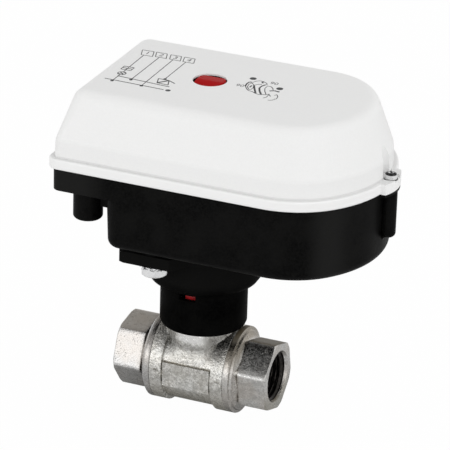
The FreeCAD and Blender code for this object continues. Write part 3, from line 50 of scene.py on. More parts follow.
def named(settings):
    return SimpleNamespace(**settings)


def placeObject(name, data):
    item = bpy.data.objects.new(name, data)
    bpy.context.scene.collection.objects.link(item)
    return item


def addPiece(name, mesh, finish, replaced=(), body="valve_assembly"):
    piece = placeObject(name, mesh)
    mesh.materials.clear()
    mesh.materials.append(materials[finish])
    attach(piece, body)
    if replaced:
        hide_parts(*replaced)


def meshFrom(name, points, faces, shift=stemX):
    mesh = bpy.data.meshes.new(name)
    mesh.from_pydata([((shift + x) * mm, y * mm, z * mm) for x, y, z in points], [], faces)
    mesh.validate()
    return mesh


def gridFaces(rows, columns, wrapRows=False):
    faces = []
    for row in range(rows if wrapRows else rows - 1):
        low, high = row * columns, (row + 1) % rows * columns
        for column in range(columns):
            after = (column + 1) % columns
            faces.append((low + column, low + after, high + after, high + column))
    return faces


def cappedFaces(rows, columns):
    last = (rows - 1) * columns
    return gridFaces(rows, columns) + [tuple(range(columns)), tuple(range(last, last + columns))]


def outwards(mesh):
    work = bmesh.new()
    work.from_mesh(mesh)
    bmesh.ops.remove_doubles(work, verts=work.verts, dist=1e-7)
    bmesh.ops.recalc_face_normals(work, faces=work.faces)
    work.to_mesh(mesh)
    work.free()
    return mesh


def creaseByAngle(mesh, degrees):
    limit = math.radians(degrees)
    work = bmesh.new()
    work.from_mesh(mesh)
    for edge in work.edges:
        edge.smooth = not (edge.is_manifold and edge.calc_face_angle(0) > limit)
    for face in work.faces:
        face.smooth = True
    work.to_mesh(mesh)
    work.free()
    return mesh


def solidMesh(name, points, faces, crease):
    return creaseByAngle(outwards(meshFrom(name, points, faces)), crease)


def joinParts(name, parts):
    points, faces = [], []
    for spots, polygons in parts:
        first = len(points)
        points += spots
        faces += [tuple(first + index for index in polygon) for polygon in polygons]
    return solidMesh(name, points, faces, partCrease)


def mergeMeshes(name, meshes):
    work = bmesh.new()
    for mesh in meshes:
        work.from_mesh(mesh)
    bmesh.ops.recalc_face_normals(work, faces=work.faces)
    merged = bpy.data.meshes.new(name)
    work.to_mesh(merged)
    work.free()
    return merged


def clamp(value, low=0):
    return min(max(value, low), 1)


def ease(share):
    return share * share * (3 - 2 * share)


def blendMax(first, second, reach):
    gap = max(reach - abs(first - second), 0) / reach
    return max(first, second) + gap * gap * reach / 4


def blendMin(first, second, reach):
    return -blendMax(-first, -second, reach)


def around(centre, radius, degrees):
    turn = math.radians(degrees)
    return centre[0] + radius * math.cos(turn), centre[1] + radius * math.sin(turn)


def spread(low, high, count):
    return [low + (high - low) * step / count for step in range(count)]


def spreadTo(low, high, count):
    return spread(low, high, count) + [high]


def turnedRows(profile, centre, steps, shape=None, ring=False):
    # a profile of heights and radii swept round an upright axis, closed by two caps or into a ring
    points = []
    for height, radius in profile:
        for turn in spread(0, 360, steps):
            level, reach = shape(height, radius, turn) if shape else (height, radius)
            points.append((*around(centre, reach, turn), level))
    rows = len(profile)
    return points, gridFaces(rows, steps, True) if ring else cappedFaces(rows, steps)


def tubeProfile(part):
    return [(part.low, part.inner), (part.low, part.outer), (part.high, part.outer),
            (part.high, part.inner)]


def slab(outline, low, high):
    points = [(x, y, height) for height in (low, high) for x, y in outline]
    return points, cappedFaces(2, len(outline))


# node helpers: an input takes a number, a colour or an output, and addNode gives back outputs

def feed(tree, node, inputs):
    for key, value in inputs.items():
        socket = node.inputs[key]
        if isinstance(value, bpy.types.NodeSocket):
            tree.links.new(value, socket)
        elif socket.type == "RGBA":
            socket.default_value = (*value, 1)
        else:
            socket.default_value = value


def addNode(tree, kind, inputs, **choices):
    node = tree.nodes.new(kind)
    for key, choice in choices.items():
        setattr(node, key, choice)
    feed(tree, node, inputs)
    return node.outputs


def newGroup(name, inputs, outputs, kind="ShaderNodeTree"):
    group = bpy.data.node_groups.new(name, kind)
    for way, sockets in (("INPUT", inputs), ("OUTPUT", outputs)):
        for label, value in sockets.items():
            group.interface.new_socket(name=label, in_out=way, socket_type="NodeSocket" + value)
    return group, group.nodes.new("NodeGroupInput").outputs, group.nodes.new("NodeGroupOutput")


def addNoise(tree, place, scale, detail, rough):
    return addNode(tree, "ShaderNodeTexNoise", {"Vector": place, "Scale": scale, "Detail": detail,
                                                "Roughness": rough})[0]


def addMath(tree, operation, first, second):
    return addNode(tree, "ShaderNodeMath", {0: first, 1: second}, operation=operation)[0]


def times(tree, first, second):
    return addMath(tree, "MULTIPLY", first, second)


def addRange(tree, value, fromLow, fromHigh, toLow=0.0, toHigh=1.0):
    return addNode(tree, "ShaderNodeMapRange",
                   {"Value": value, "From Min": fromLow, "From Max": fromHigh, "To Min": toLow,
                    "To Max": toHigh}, interpolation_type="SMOOTHSTEP")[0]


def mixColor(tree, share, first, second):
    return addNode(tree, "ShaderNodeMix", {0: share, 6: first, 7: second}, data_type="RGBA")[2]


def splitAxes(tree, vector):
    return addNode(tree, "ShaderNodeSeparateXYZ", {0: vector})


def seenStraight(tree, path):
    return addMath(tree, "MAXIMUM", path["Is Camera Ray"], path["Is Transmission Ray"])


# shader groups

grainSet = {"detail": 3, "fineRough": 0.65, "coarseRough": 0.55, "patchScale": 90.0,
            "patchDetail": 2, "patchRough": 0.5, "mask": (0.36, 0.64), "patches": (0.35, 0.65)}


def buildGrainGroup(grain):
    group, source, result = newGroup(
        "surfaceGrain", {"Vector": "Vector", "Fine Scale": "Float", "Coarse Scale": "Float",
                         "Coarse Share": "Float"},
        {"Height": "Float", "Mask": "Float", "Patches": "Float"})
    place, share = source["Vector"], source["Coarse Share"]
    fine = addNoise(group, place, source["Fine Scale"], grain.detail, grain.fineRough)
    coarse = addNoise(group, place, source["Coarse Scale"], grain.detail, grain.coarseRough)
    patches = addNoise(group, place, grain.patchScale, grain.patchDetail, grain.patchRough)
    height = addMath(group, "ADD", times(group, coarse, share),
                     times(group, fine, addMath(group, "SUBTRACT", 1.0, share)))
    feed(group, result, {"Height": height, "Mask": addRange(group, height, *grain.mask),
                         "Patches": addRange(group, patches, *grain.patches)})
    return group


pitSet = {"dots": (0.10, 0.28, 1.0, 0.0), "sparseScale": 260.0, "sparseDetail": 2,
          "sparseRough": 0.5, "sparse": (0.48, 0.62)}


def buildPitGroup(pit):
    group, source, result = newGroup("castPits", {"Vector": "Vector", "Scale": "Float"},
                                     {"Pits": "Float"})
    cells = addNode(group, "ShaderNodeTexVoronoi", {"Vector": source["Vector"],
                                                    "Scale": source["Scale"], "Randomness": 1.0})
    sparse = addNoise(group, source["Vector"], pit.sparseScale, pit.sparseDetail, pit.sparseRough)
    feed(group, result, {"Pits": times(group, addRange(group, cells["Distance"], *pit.dots),
                                       addRange(group, sparse, *pit.sparse))})
    return group


facingSet = {"up": (0.80, 0.99), "down": (-0.25, -0.85)}


def buildFacingGroup(facing):
    # how far a face looks up or down: upward faces take the dull tint that handling and dust leave
    # there, downward faces take painted shade
    group, source, result = newGroup("facingTint", {"Normal": "Vector"},
                                     {"Up": "Float", "Down": "Float"})
    height = splitAxes(group, source["Normal"])["Z"]
    feed(group, result, {"Up": addRange(group, height, *facing.up),
                         "Down": addRange(group, height, *facing.down)})
    return group


grainGroup = buildGrainGroup(named(grainSet))
pitGroup = buildPitGroup(named(pitSet))
facingGroup = buildFacingGroup(named(facingSet))


# materials

def newMaterial(name):
    material = bpy.data.materials.new(name)
    material.use_nodes = True
    return material, material.node_tree, material.node_tree.nodes["Principled BSDF"]


def addBand(tree, place, band):
    # mask between two places on one axis, soft at both ends
    axis, low, high, soft = band
    along = splitAxes(tree, place)[axis]
    rising = addRange(tree, along, (low - soft) * mm, (low + soft) * mm)
    falling = addRange(tree, along, (high - soft) * mm, (high + soft) * mm, 1.0, 0.0)
    return times(tree, rising, falling)


wearAndShadeSet = {"roughFrom": 0.35, "roughTo": 0.65, "share": 0.4, "downShare": 0.85, "pitScale": 1500,
           "pitDepth": 0.5, "dullRough": 0.35}


def grainyMaterial(name, finish, wear):
    material, tree, shader = newMaterial(name)
    place = tree.nodes.new("ShaderNodeTexCoord").outputs["Object"]
    grain = addNode(tree, "ShaderNodeGroup", {
        "Vector": place, "Fine Scale": finish["grain"][0], "Coarse Scale": finish["grain"][1],
        "Coarse Share": finish.get("share", wear.share)}, node_tree=grainGroup)
    height, metal = grain["Height"], finish.get("metal", 0.0)
    rough = addRange(tree, height, wear.roughFrom, wear.roughTo, *finish["rough"])
    colour = mixColor(tree, grain["Mask"], finish["dark"], finish["light"])
    if "patch" in finish:
        colour = mixColor(tree, times(tree, grain["Patches"], finish["patchShare"]), colour,
                          finish["patch"])
    # bands of painted shade, painted highlights and plain tints
    for *bands, most, tint in finish.get("stains", ()):
        share = addBand(tree, place, bands[0])
        for band in bands[1:]:
            share = times(tree, share, addBand(tree, place, band))
        colour = mixColor(tree, times(tree, share, most), colour, tint)
    if "pits" in finish:
        normal = tree.nodes.new("ShaderNodeNewGeometry").outputs["Normal"]
        facing = addNode(tree, "ShaderNodeGroup", {"Normal": normal}, node_tree=facingGroup)
        up = times(tree, facing["Up"], finish["upShare"])
        down = times(tree, facing["Down"], wear.downShare)
        dull = times(tree, up, finish["upShare"])
        colour = mixColor(tree, up, colour, finish["upTint"])
        # faces that look down are darkened with painted shade
        colour = mixColor(tree, down, colour, finish["downTint"])
        metal = addMath(tree, "SUBTRACT", 1.0, dull)
        rough = addMath(tree, "ADD", rough, times(tree, dull, wear.dullRough))
        pits = addNode(tree, "ShaderNodeGroup", {"Vector": place, "Scale": wear.pitScale},
                       node_tree=pitGroup)[0]
        colour = mixColor(tree, times(tree, pits, finish["pits"]), colour, finish["pitColour"])
        height = addMath(tree, "SUBTRACT", height, times(tree, pits, wear.pitDepth))
    strength, depth = finish["bump"]
    bump = addNode(tree, "ShaderNodeBump", {"Height": height, "Strength": strength,
                                            "Distance": depth * mm})[0]
    feed(tree, shader, {"Base Color": colour, "Roughness": rough, "Metallic": metal, "Normal": bump,
                        "Specular IOR Level": finish.get("specular", 0.5)})
    return material


def surface(dark, light, rough, grain, bump, **more):
    # two colours, a range of roughness, fine and coarse grain, and the bump's strength and depth
    return dict(more, dark=dark, light=light, rough=rough, grain=grain, bump=bump)


# each band entry is one or two bands (axis, low, high, softness), its strongest share and its
# colour; the entries paint shade, highlights and plain tints
finishes = {
    "castNickel": surface(
        (0.46, 0.455, 0.43), (0.88, 0.875, 0.85), (0.15, 0.32), (1300, 600), (1.0, 0.4),
        metal=1.0, share=0.5, patch=(0.58, 0.54, 0.47), patchShare=0.35, pits=0.3,
        pitColour=(0.16, 0.13, 0.10), upTint=(0.42, 0.37, 0.29), upShare=0.4,
        downTint=(0.24, 0.22, 0.17),
        # its bands: painted dark reflections of the housing on both flanks of the neck and along
        # the fillet under it, and a painted highlight on the neck below the collar
        stains=((("X", 22.5, 28.5, 1.5), ("Z", 8.5, 40.0, 3.5), 0.6, (0.13, 0.125, 0.115)),
                (("X", 41.5, 50.0, 2.0), ("Z", 8.5, 40.0, 3.5), 0.65, (0.13, 0.125, 0.115)),
                (("X", 27.5, 42.5, 2.0), ("Z", 11.4, 13.6, 1.3), 0.55, (0.16, 0.155, 0.145)),
                (("X", 29.0, 41.0, 2.5), ("Z", 15.0, 40.0, 0.7), 0.85, (0.97, 0.965, 0.95)))),
    "machinedNickel": surface(
        (0.42, 0.415, 0.41), (0.66, 0.655, 0.65), (0.18, 0.32), (1600, 500), (0.8, 0.24),
        metal=1.0, share=0.5, patch=(0.55, 0.50, 0.45), patchShare=0.5, pits=0.2,
        pitColour=(0.2, 0.17, 0.13), upTint=(0.44, 0.38, 0.30), upShare=0.5,
        downTint=(0.10, 0.095, 0.08), specular=0.2),
    "blackMoulding": surface(
        (0.0006, 0.0006, 0.0006), (0.0048, 0.0048, 0.0046), (0.34, 0.5), (1900, 800), (0.45, 0.12),
        patch=(0.006, 0.006, 0.0057), patchShare=0.6, specular=0.04,
        # the first band is a painted highlight on the base's rounded right end; the second makes
        # the upper left part of the base lighter
        stains=((("X", 96.0, 105.5, 4.0), 0.9, (0.012, 0.012, 0.0116)),
                (("X", -40.0, 2.0, 7.0), ("Z", 83.0, 99.5, 2.5), 0.9, (0.0125, 0.0125, 0.0121)))),
    # a darker copy of the black moulding: painted shade under the base; its band makes the dome and
    # ear above 43.5 mm lighter than the collar
    "blackAdapter": surface(
        (0.0004, 0.0004, 0.0004), (0.0028, 0.0028, 0.0027), (0.36, 0.5), (1900, 800), (0.4, 0.1),
        patch=(0.005, 0.005, 0.0048), patchShare=0.5, specular=0.005,
        stains=((("Z", 43.5, 80.0, 3.0), 0.75, (0.0075, 0.0075, 0.0072)),)),
    "whiteMoulding": surface(
        (0.825, 0.825, 0.82), (0.845, 0.845, 0.84), (0.4, 0.48), (2400, 900), (0.08, 0.03),
        # painted shade along the corner between the wall and the skirt's ledge, and painted light
        # that brightens the skirt below it
        specular=0.35, stains=((("Z", 99.6, 100.3, 0.3), 0.8, (0.70, 0.70, 0.695)),
                               (("Z", 80.0, 99.4, 0.2), 1.0, (0.87, 0.87, 0.865)))),
    "redPointer": surface((0.36, 0.0005, 0.001), (0.38, 0.0007, 0.002), (0.2, 0.26), (900, 300),
                          (0.05, 0.03), specular=0.04),
    "redCoupling": surface((0.26, 0.002, 0.004), (0.34, 0.003, 0.007), (0.3, 0.4), (900, 300),
                           (0.1, 0.04)),
    "zincPlate": surface((0.93, 0.935, 0.94), (0.97, 0.972, 0.975), (0.3, 0.42), (2400, 600),
                         (0.15, 0.05), metal=1.0),
    # near-black metal for the cover screws' rims: painted shade for the recess round each head
    "screwRimShade": surface((0.035, 0.035, 0.035), (0.07, 0.07, 0.07), (0.2, 0.3), (2400, 600),
                          (0.1, 0.03), metal=1.0),
    "boreShade": surface((0.012, 0.011, 0.01), (0.06, 0.055, 0.05), (0.28, 0.42), (2400, 700),
                         (0.2, 0.05), metal=1.0),
    "printInk": surface((0.03, 0.03, 0.032), (0.06, 0.06, 0.063), (0.5, 0.62), (3000, 900),
                        (0.05, 0.01)),
    "turnedSteel": surface((0.46, 0.46, 0.48), (0.62, 0.62, 0.64), (0.24, 0.36), (2800, 500),
                           (0.1, 0.03), metal=1.0),
    "chromeBall": surface((0.74, 0.74, 0.76), (0.84, 0.84, 0.86), (0.05, 0.09), (700, 200),
                          (0.02, 0.01), metal=1.0),
    "seatPlastic": surface((0.84, 0.84, 0.81), (0.9, 0.9, 0.88), (0.4, 0.5), (1500, 400),
                           (0.05, 0.02)),
    "sealRubber": surface((0.012, 0.012, 0.012), (0.022, 0.022, 0.022), (0.6, 0.75), (2200, 700),
                          (0.2, 0.05)),
    "gearPlastic": surface((0.74, 0.70, 0.60), (0.82, 0.79, 0.70), (0.35, 0.48), (1500, 400),
                           (0.08, 0.03)),
    "sinteredBronze": surface((0.42, 0.26, 0.12), (0.60, 0.40, 0.20), (0.35, 0.5), (3000, 1200),
                              (0.3, 0.05), metal=1.0),
    "boardGreen": surface((0.01, 0.12, 0.05), (0.02, 0.18, 0.08), (0.25, 0.4), (900, 250),
                          (0.1, 0.04)),
    "blockBlack": surface((0.02, 0.02, 0.022), (0.035, 0.035, 0.038), (0.4, 0.55), (1800, 500),
                          (0.15, 0.04)),
    "terminalGreen": surface((0.04, 0.30, 0.12), (0.06, 0.38, 0.16), (0.35, 0.5), (1500, 400),
                             (0.1, 0.04)),
    "motorCan": surface((0.58, 0.59, 0.60), (0.72, 0.73, 0.74), (0.26, 0.38), (2400, 500),
                        (0.12, 0.04), metal=1.0),
    "sleeveBlue": surface((0.02, 0.05, 0.18), (0.04, 0.08, 0.26), (0.2, 0.3), (900, 300),
                          (0.08, 0.03)),
}
# a lighter copy of the machined nickel for the outlet end: painted light for the stronger light
# falling there. Its bands are a painted highlight along a hexagon edge, a painted dark reflection
# on top of the flange beside the neck, and a darker lower part of the outlet's end face
finishes["outletLitNickel"] = dict(
    finishes["machinedNickel"], dark=(0.50, 0.495, 0.48), light=(0.76, 0.75, 0.73),
    upTint=(0.125, 0.10, 0.06), upShare=0.95,
    stains=((("X", 55.5, 68.1, 0.4), ("Z", 4.1, 5.5, 0.3), 1.0, (1.0, 0.99, 0.97)),
            (("X", 50.5, 56.0, 0.5), ("Z", 9.0, 40.0, 4.0), 0.65, (0.24, 0.20, 0.14)),
            (("X", 68.3, 80.0, 0.3), ("Z", -40.0, -5.0, 4.0), 0.5, (0.28, 0.27, 0.21))))
materials = {name: grainyMaterial(name, finish, named(wearAndShadeSet))
             for name, finish in finishes.items()}

nodeFinishes = {
    "castNickel": "valve_body gland_nut",
    "machinedNickel": "inlet_connector outlet_connector",
    "seatPlastic": "inlet_seat outlet_seat stem_thrust_washer",
    "chromeBall": "ball",
    "sealRubber": "inlet_seal outlet_seal stem_seal_rings cover_gasket cable_grommet",
    "turnedSteel": "valve_stem gear_plate output_gear second_gear_axle first_gear_axle motor_shaft "
                   "output_shaft sensor_magnet board_standoffs",
    "redCoupling": "drive_coupling",
    "redPointer": "position_indicator",
    "blackMoulding": "base_housing",
    "blackAdapter": "adapter_collar",
    "whiteMoulding": "cover",
    "zincPlate": "adapter_screws adapter_lock_washers cover_screws gear_plate_screws motor_screws "
                 "board_screws",
    "gearPlastic": "second_reduction_gear first_reduction_gear",
    "sinteredBronze": "motor_pinion base_bush plate_bush",
    "motorCan": "motor_case",
    "blockBlack": "magnet_carrier motor_relay open_sensor closed_sensor",
    "boardGreen": "circuit_board",
    "terminalGreen": "terminal_block",
    "sleeveBlue": "motor_capacitor",
}
for finish, names in nodeFinishes.items():
    for name in names.split():
        for slot in nodes[name].material_slots:
            slot.material = materials[finish]
print("materials made:", len(materials))


# camera, light and floor

bpy.context.scene.view_settings.view_transform = "Standard"

cameraSet = {"azimuth": 22.253, "elevation": 23.744, "roll": 1.7456, "distance": 1.388602,
             "focalPixels": 3342.04, "shiftRight": 0.00798, "shiftUp": 0.002409,
             "aim": (0.0345, 0.0, 0.06), "imageWidth": 450, "sensor": 36, "clipEnd": 20}


def buildCamera(view):
    turn, rise, roll = (math.radians(angle) for angle in (view.azimuth, view.elevation, view.roll))
    out = math.cos(rise)
    back = Vector((math.sin(turn) * out, -math.cos(turn) * out, math.sin(rise)))
    level = Vector((math.cos(turn), math.sin(turn), 0))
    upright = back.cross(level)
    right = level * math.cos(roll) + upright * math.sin(roll)
    up = upright * math.cos(roll) - level * math.sin(roll)
    data = bpy.data.cameras.new("photoCamera")
    data.sensor_width = view.sensor
    data.lens = view.focalPixels / view.imageWidth * view.sensor
    data.clip_end = view.clipEnd
    camera = placeObject("photoCamera", data)
    stand = Matrix((right, up, back)).transposed().to_4x4()
    stand.translation = (Vector(view.aim) + back * view.distance + right * view.shiftRight
                         + up * view.shiftUp)
    camera.matrix_world = stand
    bpy.context.scene.camera = camera


buildCamera(named(cameraSet))

lampSet = {
    "left": {"spot": (-0.52, -1.40, 0.46), "aim": (0.0, 0, 0.03), "size": 0.85, "power": 2.75},
    "right": {"spot": (1.25, -0.95, 0.55), "aim": (0.05, 0, 0.07), "size": 1.4, "power": 1.7},
    "top": {"spot": (0.50, 0.05, 0.66), "aim": (0.04, 0, 0.10), "size": 0.5, "power": 0.65},
}
for name, settings in lampSet.items():
    lamp = bpy.data.lights.new(name + "Lamp", "AREA")
    lamp.shape = "SQUARE"
    lamp.size = settings["size"]
    lamp.energy = settings["power"]
    holder = placeObject(name + "Lamp", lamp)
    holder.location = settings["spot"]
    way = Vector(settings["aim"]) - Vector(settings["spot"])
    holder.rotation_euler = way.to_track_quat("-Z", "Y").to_euler()

# each range: from height, to height, strength below, strength above
worldSet = {"soft": (0.05, 0.7, 1.456, 0.656), "gloss": (0.15, 0.6, 1.0, 0.40)}


def buildWorld(sky):
    world = bpy.data.worlds.new("studio")
    bpy.context.scene.world = world
    world.use_nodes = True
    tree = world.node_tree
    tree.nodes.clear()
    height = splitAxes(tree, tree.nodes.new("ShaderNodeTexCoord").outputs["Generated"])["Z"]
    path = tree.nodes.new("ShaderNodeLightPath").outputs
    soft, gloss = addRange(tree, height, *sky.soft), addRange(tree, height, *sky.gloss)
    lit = addNode(tree, "ShaderNodeMix", {0: path["Is Glossy Ray"], 2: soft, 3: gloss})[0]
    seen = addNode(tree, "ShaderNodeMix", {0: seenStraight(tree, path), 2: lit, 3: 1.0})[0]
    light = addNode(tree, "ShaderNodeBackground", {"Color": (1, 1, 1), "Strength": seen})[0]
    addNode(tree, "ShaderNodeOutputWorld", {"Surface": light})


buildWorld(named(worldSet))

floorSet = {"height": -19.4, "reach": 4.0, "shade": 0.72, "rough": 0.8, "glow": 1.0,
            "glowShare": 0.985, "glossShare": 0.08}


def buildFloor(ground):
    reach, shade = ground.reach / mm, ground.shade
    corners = [(-reach, -reach), (reach, -reach), (reach, reach), (-reach, reach)]
    mesh = meshFrom("floor", [(x, y, ground.height) for x, y in corners], [(0, 1, 2, 3)], 0)
    material, tree, shader = newMaterial("paleFloor")
    feed(tree, shader, {"Base Color": (shade, shade, shade), "Roughness": ground.rough})
    glow = addNode(tree, "ShaderNodeEmission", {"Strength": ground.glow})[0]
    path = tree.nodes.new("ShaderNodeLightPath").outputs
    gloss = times(tree, path["Is Glossy Ray"], ground.glossShare)
    seen = addMath(tree, "MAXIMUM", times(tree, seenStraight(tree, path), ground.glowShare), gloss)
    mix = addNode(tree, "ShaderNodeMixShader", {0: seen, 1: shader.outputs[0], 2: glow})[0]
    feed(tree, tree.nodes["Material Output"], {"Surface": mix})
    mesh.materials.append(material)
    floor = placeObject("floor", mesh)


buildFloor(named(floorSet))
print("camera, lamps and floor set")


# pipe ends: hexagon, shoulder, flange and threaded port in one turned grid

connectorSet = {
    "hexWidth": 28.0, "hexStart": 22.0, "reach": 34.5, "flange": 18.65, "seam": 16.6,
    "seamStep": 0.4, "flangeEnd": 19.4, "faceRadius": 14.9, "chamferRun": 0.8,
    "chamferBlend": 0.25, "cornerBlend": 0.8, "cornerCut": 0.1, "portRadius": 10.48,
    "portStep": 0.3, "threadDepth": 1.16, "threadPitch": 1.814, "ridgeSteep": 2.5,
    "ridgeLift": 0.1, "ridgeEase": 0.35, "fadeIn": 1.6, "fadeOut": 1.2,
    "portDepth": 13.0, "portEdge": 0.2, "flow": 7.5, "spigot": 15.5, "spigotEnd": 9.5,
    "seat": 12.0, "seatBack": 12.2, "mouth": 11.18, "mouthRun": 1.2, "mouthEdge": 0.12,
    "faceMiddle": 13.2, "shadeFrom": 10.6, "sideSteps": 30, "threadRows": 9, "crease": 32,
    # from the seam and from the flange's end: how far along, and how far under its radius
    "lip": ((0.04, 0.35), (0.12, 0.12), (0.35, 0)),
    "fall": ((-0.5, 0), (-0.2, 0.12), (-0.05, 0.45), (0, 0.9), (0.12, 1.25), (0.45, 1.45),
             (0.9, 1.75), (1.05, 2.2)),
    # narrow waist before the hexagon: how far along, and its radius
    "waist": ((21.1, 15.4), (21.6, 14.4), (21.95, 13.85)),
    # rows of the hexagon from its start, along its flats and back from its face
    "foot": (0, 0.12), "flatFrom": 0.4, "flatTo": 1.2, "flatRows": 8,
    "head": (1.2, 0.9, 0.6, 0.3, 0.1, 0),
    # rounding at both ends of the flats: how far along, and its slope
    "footRound": (0.2, 0.9), "headRound": (0.15, 0.6)}


def hexReach(part, turn, corner):
    tip = part.hexWidth / 2 / math.cos(math.radians(30))
    angle = (turn - corner + 30) % 60 - 30
    flat = part.hexWidth / 2 / math.cos(math.radians(30 - abs(angle)))
    return blendMin(flat, tip - part.cornerCut, part.cornerBlend)


def threadRadius(part, x, turn):
    start, end = part.reach - part.mouthRun, part.reach - part.portDepth
    phase = (x / part.threadPitch + turn / 360) % 1
    ridge = clamp(1 - abs(phase - 0.5) * part.ridgeSteep + part.ridgeLift)
    ridge = ease(ridge) * part.ridgeEase + ridge * (1 - part.ridgeEase)
    fade = clamp((start - x) / part.fadeIn) * clamp((x - end) / part.fadeOut)
    return part.portRadius - part.threadDepth * ridge * fade


def buildConnector(part, corner, mirrored):
    turns = [corner + 60 * side + 30 * (1 - math.cos(math.pi * step / part.sideSteps))
             for side in range(6) for step in range(part.sideSteps)]
    reach, flange, start = part.reach, part.flange, part.hexStart
    profile = [(part.spigotEnd, part.spigot), (part.seam - tiny, part.spigot),
               (part.seam + tiny, part.spigot + part.seamStep)]
    profile += [(part.seam + run, flange - drop) for run, drop in part.lip]
    profile += [(part.flangeEnd + run, flange - drop) for run, drop in part.fall]
    rows = [[spot] * len(turns) for spot in (*profile, *part.waist)]
    hexRows = [start + run for run in part.foot]
    hexRows += spread(start + part.flatFrom, reach - part.flatTo, part.flatRows)
    hexRows += [reach - run for run in part.head]
    slope = (part.hexWidth / 2 / math.cos(math.radians(30)) - part.faceRadius) / part.chamferRun
    for x in hexRows:
        cut = (max(part.footRound[0] - x + start, 0) * part.footRound[1]
               + max(part.headRound[0] - reach + x, 0) * part.headRound[1])
        limit = part.faceRadius + (reach - x) * slope
        rows.append([(x, blendMin(hexReach(part, turn, corner), limit, part.chamferBlend) - cut)
                     for turn in turns])
    rows += [[spot] * len(turns) for spot in (
        (reach, (part.mouth + part.faceMiddle) / 2), (reach, part.mouth + part.mouthEdge),
        (reach - 2 * tiny, part.mouth - tiny))]
    run, end = part.portDepth - part.mouthRun, reach - part.portDepth
    count = int(run / part.threadPitch * part.threadRows)
    for index in range(count + 1):
        x = reach - part.mouthRun - run * index / count
        rows.append([(x, threadRadius(part, x, turn)) for turn in turns])
    rows += [[spot] * len(turns) for spot in (
        (end - tiny, part.portRadius - part.portStep), (end - tiny, part.flow + part.portEdge),
        (end - part.portEdge, part.flow), (part.seatBack, part.flow), (part.seatBack, part.seat),
        (part.spigotEnd, part.seat))]
    sign = -1 if mirrored else 1
    points = []
    for row in rows:
        for (x, radius), turn in zip(row, turns):
            y, z = around((0, 0), radius, turn)
            points.append((sign * x, sign * y, z))
    return solidMesh("connectorMesh", points, gridFaces(len(rows), len(turns), True), part.crease)


def addConnector(name, part, corner, mirrored, node, finish):
    mesh = buildConnector(part, corner, mirrored)
    addPiece(name, mesh, finish, [node])
    # the faces inside the port take a darker material: the unplated, oily metal there, darkened
    # further with painted shade
    mesh.materials.append(materials["boreShade"])
    for polygon in mesh.polygons:
        if math.hypot(polygon.center.y, polygon.center.z) < part.shadeFrom * mm:
            polygon.material_index = 1


# the two ends were screwed in to different angles
outletSet = dict(connectorSet, cornerBlend=1.5)
addConnector("outletEnd", named(outletSet), 42.3, False, "outlet_connector", "outletLitNickel")
addConnector("inletEnd", named(connectorSet), 51.8, True, "inlet_connector", "machinedNickel")
print("pipe ends made")


# valve body: barrel, rings, neck and panel in one blended casting

bodySet = {
    "barrel": 17.3, "ring": 18.65, "ringReach": 11.3, "bevel": 0.6, "seam": 16.6, "neck": 15.5,
    "neckTop": 19.25, "neckMost": 30, "blend": 3.4, "blendLeast": 0.12, "blendGap": 0.2,
    "blendRun": 2.5, "panelReach": 10.6, "panelLow": -5.8, "panelHigh": 4.9, "panelPlane": 17.9,
    "panelEdge": 0.16, "inner": 15.5, "grooveTurn": 2.4, "grooveDepth": 0.9, "groovePower": 0.5,
    "endRound": 16.3, "endSlope": 2.2, "slack": 0.01, "crease": 38,
    "stops": (0, 10.3, 10.55, 10.65, 11.4, 16.2, 16.45, 16.6), "stopRows": (26, 1, 1, 8, 16, 2, 2),
    "sideTurn": 72, "turnRows": (16, 36, 3, 8, 2, 10, 2, 34)}


def spreadStops(stops, counts):
    return [value for low, high, count in zip(stops, stops[1:], counts)
            for value in spread(low, high, count)]


def bodyRadius(part, x, turn):
    # turn is measured round the pipe from straight up, in degrees, positive towards the near side
    side, up = math.sin(math.radians(turn)), math.cos(math.radians(turn))
    onRing = ease(clamp((abs(x) - (part.ringReach - part.bevel)) / part.bevel))
    radius = part.barrel + (part.ring - part.barrel) * onRing
    if up > tiny and abs(x) < part.neck - tiny:
        wall = math.sqrt(part.neck ** 2 - x * x) / max(abs(side), 0.001)
        soft = clamp((part.ringReach - part.blendGap - abs(x)) / part.blendRun, part.blendLeast)
        radius = blendMax(radius, min(wall, part.neckMost), part.blend * soft)
        radius = min(radius, part.neckTop / up)
    return radius


def buildBody(part):
    half = spreadStops(part.stops, part.stopRows) + [part.seam]
    xs = [-x for x in reversed(half)] + half[1:]
    topTurn = math.degrees(math.atan2(part.neck, part.neckTop))
    high, low = (90 - math.degrees(math.atan2(edge, part.panelPlane))
                 for edge in (part.panelHigh, part.panelLow))
    groove, near, slack = part.grooveTurn, part.panelEdge, part.slack
    half = spreadStops((0, topTurn, part.sideTurn, high - groove, high - near, high + near,
                        low - near, low + near, 180), part.turnRows)
    turns = half + [180] + [-turn for turn in reversed(half[1:])]
    rows = []
    for x in xs:
        row = []
        onPanel = abs(x) < part.panelReach
        for turn in turns:
            radius = bodyRadius(part, x, turn) - max(abs(x) - part.endRound, 0) ** 2 * part.endSlope
            if onPanel and high - groove < turn < high - near + slack:
                share = math.sin(math.pi * (high - turn) / groove) ** part.groovePower
                radius -= part.grooveDepth * share
            if onPanel and high - slack < turn < low + slack:
                radius = max(radius, part.panelPlane / math.sin(math.radians(turn)))
            row.append((x, radius))
        rows.append(row)
    rows += [[(x, part.inner)] * len(turns) for x in (part.seam, -part.seam)]
    points = []
    for row in rows:
        for (x, radius), turn in zip(row, turns):
            up, side = around((0, 0), radius, turn)
            points.append((x, -side, up))
    return solidMesh("bodyMesh", points, gridFaces(len(rows), len(turns), True), part.crease)


# cast discs, which stand about half a millimetre out of the rings, and the bonnet under the collar
markSet = {"reach": 14.2, "drop": -0.8, "radius": 2.2, "low": 17.5, "high": 19.2, "bevel": 0.28,
           "steps": 48}
bonnetSet = {"radius": 9.0, "low": 18.25, "high": 31.0, "bevel": 0.4, "steps": 48}


